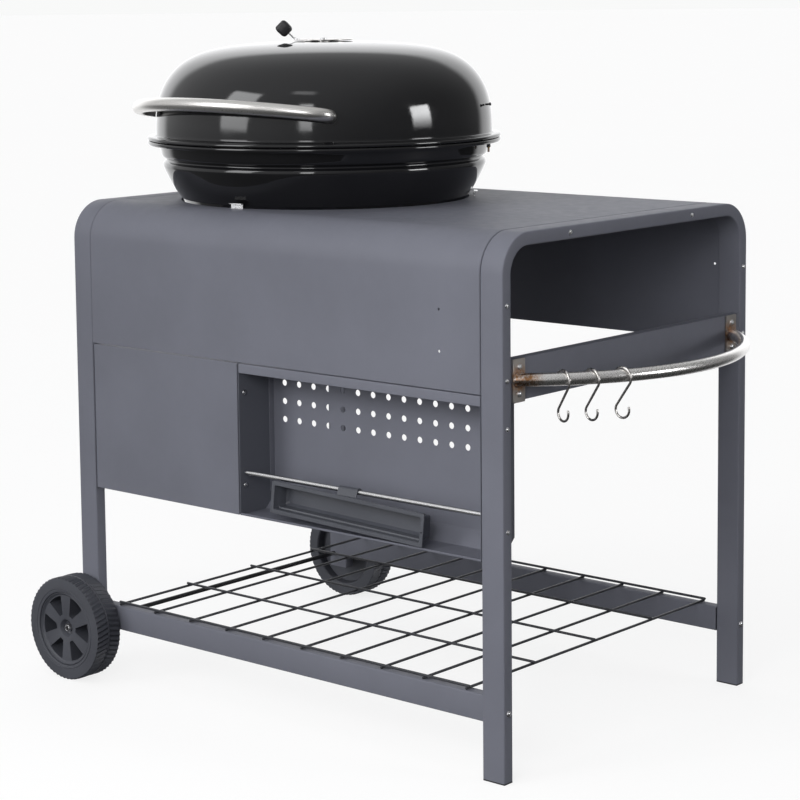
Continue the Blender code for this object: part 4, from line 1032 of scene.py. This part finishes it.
def lid():
    dome = spline_through([
        (0.0000, 1.0555), (0.0600, 1.0545), (0.1200, 1.0515), (0.1720, 1.0450), (0.2080, 1.0350),
        (0.2360, 1.0195), (0.2555, 0.9995), (0.2685, 0.9765), (0.2755, 0.9520), (0.2784, 0.9290),
        (0.2790, 0.9090),
    ], 8)
    rim = rounded_path([
        dome[-1], (0.2790, 0.9040), (0.2830, 0.9022), (0.2900, 0.9016), (0.2930, 0.9006),
        (0.2933, 0.8976), (0.2915, 0.8966),
    ], 0.0020, 4)
    outline = thick_outline(dome[:-1] + rim, KETTLE_SHEET)
    shell = turned("kettle_lid", outline, KETTLE_AXIS, 192, ENAMEL, smooth=60.0)
    carve(shell, vent_cutter(0.0, 1.045, 1.065), 60.0)
    settle(shell, LID, "lid", slot="black_enamel")


def top_damper():
    low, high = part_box("top_damper")
    radius = (high[0] - low[0]) / 2
    base, top = low[2], high[2]
    profile = [
        (0.0, base), (radius - 0.0010, base), (radius, base + 0.0003), (radius, top),
        (radius - 0.0012, top + 0.0005), (radius - 0.0035, top + 0.0004), (radius - 0.0050, top),
        (0.0160, top), (0.0135, top + 0.0004), (0.0, top + 0.0004),
    ]
    disc = turned("vent_disc", profile, KETTLE_AXIS, 96, DAMPER_STEEL)
    carve(disc, vent_cutter(math.radians(45.0), base - 0.006, top + 0.006))
    settle(disc, "top_damper_body", "top_damper", slot="bright_metal")
    rivet_low, rivet_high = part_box("damper_rivet")
    top = rivet_high[2]
    profile = [
        (0.0, rivet_low[2]), (0.0029, rivet_low[2]), (0.0029, top - 0.0026), (0.0062, top - 0.0026),
        (0.0060, top - 0.0014), (0.0045, top - 0.0004), (0.0020, top), (0.0, top),
    ]
    rivet = turned("vent_rivet", profile, KETTLE_AXIS, 32, SCREW_STEEL)
    settle(rivet, LID, "damper_rivet", slot="bright_metal")


def damper_knob():
    """Square-shouldered grip on a thin bent stem at the edge of the disc."""
    direction = math.radians(220.5)
    outward = Vector((math.cos(direction), math.sin(direction), 0.0))
    rise = Vector((0.0, 0.0, 1.0))
    disc_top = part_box("top_damper")[1][2]
    foot = Vector((KETTLE_X, KETTLE_Y, disc_top + 0.0003)) + outward * 0.0490
    slant = (outward + rise).normalized()
    neck = foot + rise * 0.0020
    stem = bmesh.new()
    bend = [foot - outward * 0.004 + rise * 0.0014, neck, neck + slant * 0.0150]
    add_tube(stem, rounded_path(bend, 0.003, 6), 0.0013, 12)
    base = [(0.0, 0.0), (0.0050, 0.0), (0.0048, 0.0012), (0.0, 0.0014)]
    lathe(stem, base, foot - outward * 0.005, 24)
    settle(to_object("knob_stem", stem, SCREW_STEEL, 45.0), "top_damper_body", slot="bright_metal")
    side = slant.cross(rise).normalized()
    up = side.cross(slant)
    start = neck + slant * 0.0115
    stations = (
        (0.0, 0.0076), (0.0015, 0.0098), (0.0050, 0.0116), (0.0155, 0.0121), (0.0205, 0.0109),
        (0.0226, 0.0084),
    )
    sections = []
    for distance, half in stations:
        loop = rounded_rectangle(-half, -half * 0.92, half, half * 0.92, half * 0.34, 4)
        sections.append([start + slant * distance + side * u + up * v for u, v in loop])
    grip = bmesh.new()
    skin(grip, sections)
    knob = to_object("knob_grip", grip, BLACK_PLASTIC, 42.0)
    settle(knob, "top_damper_body", "damper_knob", slot="black_plastic")


HANDLE_HALF_ANGLE = math.radians(45.4)


def handle_path():
    """Bow round the front of the lid, turning into it at both ends."""
    def bow(angle):
        return Vector((
            KETTLE_X + 0.3005 * math.sin(angle), KETTLE_Y - 0.0094 - 0.3005 * math.cos(angle), 0.0,
        ))

    bend = math.radians(6.0)
    corner = bow(HANDLE_HALF_ANGLE)
    middle = Vector(KETTLE_AXIS)
    socket = middle + (corner - middle).normalized() * 0.2787
    near = bow(HANDLE_HALF_ANGLE - bend)
    half = [socket]
    for i in range(11):
        t = i / 10
        half.append(socket.lerp(corner, 0.25) * (1 - t) ** 2 + corner * 2 * t * (1 - t) + near * t**2)
    for i in range(1, 25):
        half.append(bow((HANDLE_HALF_ANGLE - bend) * (1 - i / 24)))
    mirrored = [Vector((2 * KETTLE_X - p.x, p.y, p.z)) for p in half[:-1]]
    path = mirrored + half[::-1]
    chord_y = KETTLE_Y - 0.28 * math.cos(HANDLE_HALF_ANGLE)
    for point in path:
        point.z = 0.943 + math.tan(math.radians(9.7)) * (chord_y - point.y)
    return path


def handle():
    path = handle_path()
    tube = tube_piece("lid_bow_handle", path, 0.0108, HANDLE_STEEL, 32, up=(0, 0, 1))
    settle(tube, LID, "lid_handle", slot="stainless")


def small_lid_parts():
    start = on_kettle(math.radians(114.0), 0.2770, 0.9510)
    end = on_kettle(math.radians(114.0), 0.2868, 0.9520)
    peg = bmesh.new()
    along = (end - start).normalized()
    add_tube(peg, [start, end - along * 0.0004], 0.0016, 14, 0.0004)
    add_tube(peg, [end - along * 0.0030, end], 0.0026, 14, 0.0006)
    settle(to_object("lid_hook_peg", peg, BLACK_METAL, 50.0), LID, "lid_peg", slot="black_plastic")


def wing_nut():
    angle = math.radians(112.0)
    centre = on_kettle(angle, 0.2850, 0.8850)
    tangent = Vector((math.cos(angle), math.sin(angle), 0.0))
    down = Vector((0.0, 0.0, -1.0))
    wings = bmesh.new()
    for side in (-1, 1):
        sweep = ((0.0018, 0.0), (0.0045, -0.0006), (0.0084, -0.0018))
        path = [centre + tangent * side * s + down * d for s, d in sweep]
        skin(wings, tube_rings(path, [0.0019, 0.0026, 0.0012], 10, up=(0, 0, 1), squash=0.5))
    lathe(wings, [(0.0, -0.0026), (0.0034, -0.0026), (0.0030, 0.0026), (0.0, 0.0026)], centre, 20)
    nut = to_object("wing_nut_wings", wings, BLACK_METAL, 50.0)
    settle(nut, TROLLEY, "rim_wing_nut", slot="black_metal")
    tip = bmesh.new()
    add_tube(tip, [centre + down * 0.0020, centre + down * 0.0108], 0.0018, 14, 0.0005)
    settle(to_object("wing_nut_screw", tip, RUST, 50.0), TROLLEY, slot="black_metal")
    core = bmesh.new()
    outline = [(0.0, -0.0042), (0.0022, -0.0042), (0.0024, -0.0030), (0.0024, 0.0029), (0.0, 0.0029)]
    lathe(core, outline, centre, 18)
    settle(to_object("wing_nut_core", core, BRASS, 40.0), TROLLEY, slot="black_metal")


def round_grate(name, body, radius, z, ring_wire, count, bar_wire):
    shape = bmesh.new()
    middle = Vector((KETTLE_X, KETTLE_Y, z))
    turns = arc(0.0, 360.0, 120)[:-1]
    ring = [middle + Vector((radius * math.cos(a), radius * math.sin(a), 0.0)) for a in turns]
    skin(shape, tube_rings(ring, ring_wire, 10, up=(0, 0, 1)), looped=True)
    pitch = 2 * radius / (count + 1)
    for i in range(count):
        x = -radius + pitch * (i + 1)
        half = math.sqrt(radius**2 - x**2)
        ends = [middle + Vector((x, side * half, ring_wire * 0.55)) for side in (-1, 1)]
        add_tube(shape, ends, bar_wire, 8)
    for y in (-0.30 * radius, 0.30 * radius):
        half = math.sqrt(radius**2 - y**2)
        ends = [middle + Vector((side * half, y, -ring_wire * 0.4)) for side in (-1, 1)]
        add_tube(shape, ends, bar_wire, 8)
    settle(to_object(f"{name}_wires", shape, GRATE_STEEL, 60.0), body, name, slot="plated_wire")


def under_bowl():
    low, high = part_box("ash_pan")
    top = high[2] - 0.0005
    floor = low[2] + 0.0005
    path = rounded_path([
        (0.0, floor), (0.0780, floor), (0.0920, top - 0.006), (0.0925, top), (0.1046, top),
        (0.1050, top - 0.0025),
    ], 0.004, 5)
    outline = thick_outline(path, 0.0010)
    pan = turned("ash_dish", outline, KETTLE_AXIS, 96, SHEET_ALUMINIUM, smooth=50.0)
    settle(pan, "ash_pan_body", "ash_pan", slot="aluminium_sheet")
    for node in ("ash_pan_hanger_left", "ash_pan_hanger_right", "ash_sweep", "ash_sweep_lever",
                 "bowl_vent_plate"):
        dress(node, SHEET_ALUMINIUM, 0.0003)


def fittings():
    for node in ("bowl_bracket_1", "bowl_bracket_2", "bowl_bracket_3"):
        dress(node, SCREW_STEEL, 0.0003)
    for node in ("bowl_hinge_bracket", "lid_hinge_arm"):
        dress(node, BLACK_METAL, 0.0006)
    for node in ("front_foot_plug", "rear_foot_plug"):
        dress(node, BLACK_PLASTIC, 0.0005)
    dress("left_front_panel", PAINT, 0.0012)
    dress("right_cross_panel", PAINT, 0.0005)
    low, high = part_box("hinge_pin")
    y, z = (low[1] + high[1]) / 2, (low[2] + high[2]) / 2
    shape = bmesh.new()
    add_tube(shape, [(low[0], y, z), (high[0], y, z)], 0.0028, 24, 0.0006)
    pin = to_object("hinge_pin_bar", shape, SCREW_STEEL, 50.0)
    settle(pin, TROLLEY, "hinge_pin", slot="bright_metal")


# ---------------------------------------------------------------- studio

CAMERA_PLACE = (2.3840, -2.8234, 1.1309)
CAMERA_YAW = math.radians(40.737)
CAMERA_PITCH = math.radians(6.511)
CAMERA_ROLL = math.radians(-0.551)


def camera():
    data = bpy.data.cameras.new("camera")
    data.lens = 103.165
    data.sensor_width = 36.0
    data.shift_y = -0.18
    data.clip_end = 400.0
    obj = bpy.data.objects.new("camera", data)
    forward = Vector((-math.sin(CAMERA_YAW) * math.cos(CAMERA_PITCH),
                      math.cos(CAMERA_YAW) * math.cos(CAMERA_PITCH), -math.sin(CAMERA_PITCH)))
    right = Vector((math.cos(CAMERA_YAW), math.sin(CAMERA_YAW), 0.0))
    up = right.cross(forward)
    right, up = (right * math.cos(CAMERA_ROLL) + up * math.sin(CAMERA_ROLL),
                 up * math.cos(CAMERA_ROLL) - right * math.sin(CAMERA_ROLL))
    turn = Matrix((right, up, -forward)).transposed().to_4x4()
    obj.matrix_world = Matrix.Translation(CAMERA_PLACE) @ turn
    bpy.context.scene.collection.objects.link(obj)
    bpy.context.scene.camera = obj


def floor():
    """Pale floor that only the camera sees, so that it throws no light up under the trolley."""
    shape = bmesh.new()
    bmesh.ops.create_circle(shape, cap_ends=True, segments=96, radius=150.0)
    material = new_material("pale_floor", (0.22, 0.22, 0.22), 0.9)
    drift = noise(material, 0.8, 2.0)
    colour_from(material, blend_colours(material, drift, (0.215, 0.215, 0.215), (0.225, 0.225, 0.225)))
    shader = shader_of(material)
    shader.inputs["Specular IOR Level"].default_value = 0.0
    shader.inputs["Emission Color"].default_value = (1.0, 1.0, 1.0, 1.0)
    shader.inputs["Emission Strength"].default_value = 0.80
    obj = to_object("studio_floor", shape, material)
    obj.location.z = -0.0002
    obj.visible_glossy = False
    obj.visible_diffuse = False


def math_node(tree, operation, *values):
    node = tree.nodes.new("ShaderNodeMath")
    node.operation = operation
    for socket, value in zip(node.inputs, values):
        if isinstance(value, (int, float)):
            socket.default_value = value
        else:
            tree.links.new(value, socket)
    return node.outputs[0]


def ease(tree, value, low, high, to_low=0.0, to_high=1.0):
    node = tree.nodes.new("ShaderNodeMapRange")
    node.interpolation_type = "SMOOTHSTEP"
    node.inputs["From Min"].default_value = low
    node.inputs["From Max"].default_value = high
    node.inputs["To Min"].default_value = to_low
    node.inputs["To Max"].default_value = to_high
    tree.links.new(value, node.inputs["Value"])
    return node.outputs["Result"]


def facing(tree, direction, towards):
    node = tree.nodes.new("ShaderNodeVectorMath")
    node.operation = "DOT_PRODUCT"
    node.inputs[1].default_value = towards
    tree.links.new(direction, node.inputs[0])
    return node.outputs["Value"]


def bearing(azimuth, elevation=0.0):
    """Unit vector; azimuth runs from +X towards +Y, in degrees."""
    a, e = math.radians(azimuth), math.radians(elevation)
    return Vector((math.cos(a) * math.cos(e), math.sin(a) * math.cos(e), math.sin(e)))


def panel(tree, direction, azimuth, elevation, half_width, half_height, softness, power, lower=1.0):
    """Soft-edged light panel far off; lower scales its light at its bottom edge."""
    middle = bearing(azimuth, elevation)
    across = bearing(azimuth + 90.0)
    rise = middle.cross(across)
    if rise.z < 0:
        rise = -rise
    ahead = facing(tree, direction, middle)
    depth = math_node(tree, "MAXIMUM", ahead, 0.05)
    u = math_node(tree, "ABSOLUTE", math_node(tree, "DIVIDE", facing(tree, direction, across), depth))
    v = math_node(tree, "DIVIDE", facing(tree, direction, rise), depth)
    wide, tall = math.tan(math.radians(half_width)), math.tan(math.radians(half_height))
    side = ease(tree, u, wide, wide * (1 - softness), 0.0, power)
    height = ease(tree, math_node(tree, "ABSOLUTE", v), tall, tall * (1 - softness))
    fade = ease(tree, v, -tall, tall * 0.4, lower, 1.0)
    light = math_node(tree, "MULTIPLY", math_node(tree, "MULTIPLY", side, height), fade)
    return math_node(tree, "MULTIPLY", light, math_node(tree, "GREATER_THAN", ahead, 0.06))


def studio_world():
    """White to the camera; a grey room with a white backdrop and three panels to everything else."""
    world = bpy.data.worlds.new("studio")
    world.use_nodes = True
    tree = world.node_tree
    tree.nodes.clear()
    direction = tree.nodes.new("ShaderNodeTexCoord").outputs["Generated"]
    height = facing(tree, direction, (0.0, 0.0, 1.0))
    away = Vector((-math.sin(CAMERA_YAW), math.cos(CAMERA_YAW), 0.0))
    behind = facing(tree, direction, away)
    backdrop = math_node(
        tree, "MULTIPLY", ease(tree, behind, 0.64, 0.78), ease(tree, height, 0.62, 0.48))
    left = ease(tree, facing(tree, direction, bearing(-150.0, 35.0)), -0.8, 0.9, 0.16, 0.62)
    below = ease(tree, height, -0.25, 0.02, 0.24, 1.0)
    room = math_node(tree, "MULTIPLY", left, below)
    light = math_node(tree, "ADD", room, backdrop)
    for settings in PANELS:
        light = math_node(tree, "ADD", light, panel(tree, direction, *settings))
    lit = tree.nodes.new("ShaderNodeBackground")
    lit.inputs["Color"].default_value = (0.985, 0.99, 1.0, 1.0)
    tree.links.new(light, lit.inputs["Strength"])
    seen = tree.nodes.new("ShaderNodeBackground")
    seen.inputs["Color"].default_value = (0.945, 0.95, 0.945, 1.0)
    paths = tree.nodes.new("ShaderNodeLightPath")
    mix = tree.nodes.new("ShaderNodeMixShader")
    tree.links.new(paths.outputs["Is Camera Ray"], mix.inputs["Fac"])
    tree.links.new(lit.outputs[0], mix.inputs[1])
    tree.links.new(seen.outputs[0], mix.inputs[2])
    output = tree.nodes.new("ShaderNodeOutputWorld")
    tree.links.new(mix.outputs[0], output.inputs["Surface"])
    bpy.context.scene.world = world


PANELS = (
    # azimuth, elevation, half width, half height, edge softness, power, share at the bottom
    (22.0, 9.0, 8.5, 10.0, 0.25, 13.0, 0.12),
    (-60.0, 14.0, 5.0, 15.0, 0.25, 6.0, 0.6),
    (-111.0, 20.0, 12.0, 22.0, 0.20, 4.6, 0.7),
    (-64.0, 46.0, 9.0, 4.0, 0.6, 1.6, 1.0),
)


def soft_box(name, place, aim, width, height, power):
    """Area light for the broad front light; it stays out of reflections."""
    data = bpy.data.lights.new(name, "AREA")
    data.shape = "RECTANGLE"
    data.size = width
    data.size_y = height
    data.energy = power
    obj = bpy.data.objects.new(name, data)
    obj.location = place
    obj.rotation_euler = (Vector(place) - Vector(aim)).to_track_quat("Z", "Y").to_euler()
    obj.visible_glossy = False
    obj.visible_camera = False
    bpy.context.scene.collection.objects.link(obj)


def studio():
    floor()
    studio_world()
    soft_box("front_fill", (1.1, -3.0, 1.5), (0.1, -0.3, 0.5), 1.6, 1.2, 16.0)
    soft_box("near_fill", (0.75, -1.5, 1.1), (0.30, -0.3, 0.6), 0.6, 0.6, 5.0)
    bpy.context.scene.view_settings.view_transform = "Standard"


# ---------------------------------------------------------------- build

def build():
    end_frame("left_arch", "left_end_frame", LEFT_X)
    end_frame("right_arch", "right_end_frame", INNER_RIGHT_X)
    hood()
    lower_rail("front_stretcher", "front_lower_rail")
    lower_rail("rear_stretcher", "rear_lower_rail")
    wire_shelf()
    recess()
    rod_y, rod_z = utensil_rod()
    tray_x = utensil_tray(rod_y, rod_z)
    tray_clip(tray_x, rod_y, rod_z)
    plate("front_rail_plate", "rail_plate_front")
    plate("back_rail_plate", "rail_plate_rear")
    towel_rail()
    for number, y in enumerate(HOOK_SPOTS, 1):
        s_hook(number, y)
    frame_screws()
    for name, direction in (("front", 1), ("rear", -1)):
        centre = wheel(name, direction)
        axle_end(name, centre, direction)
    axle(centre)
    bowl()
    lid()
    top_damper()
    damper_knob()
    handle()
    small_lid_parts()
    wing_nut()
    round_grate("cooking_grate", "cooking_grate_body", 0.2625, 0.8700, 0.0028, 29, 0.0022)
    round_grate("charcoal_grate", "charcoal_grate_body", 0.2050, 0.7640, 0.0030, 15, 0.0030)
    under_bowl()
    fittings()


camera()
studio()
build()
HEAD.free()
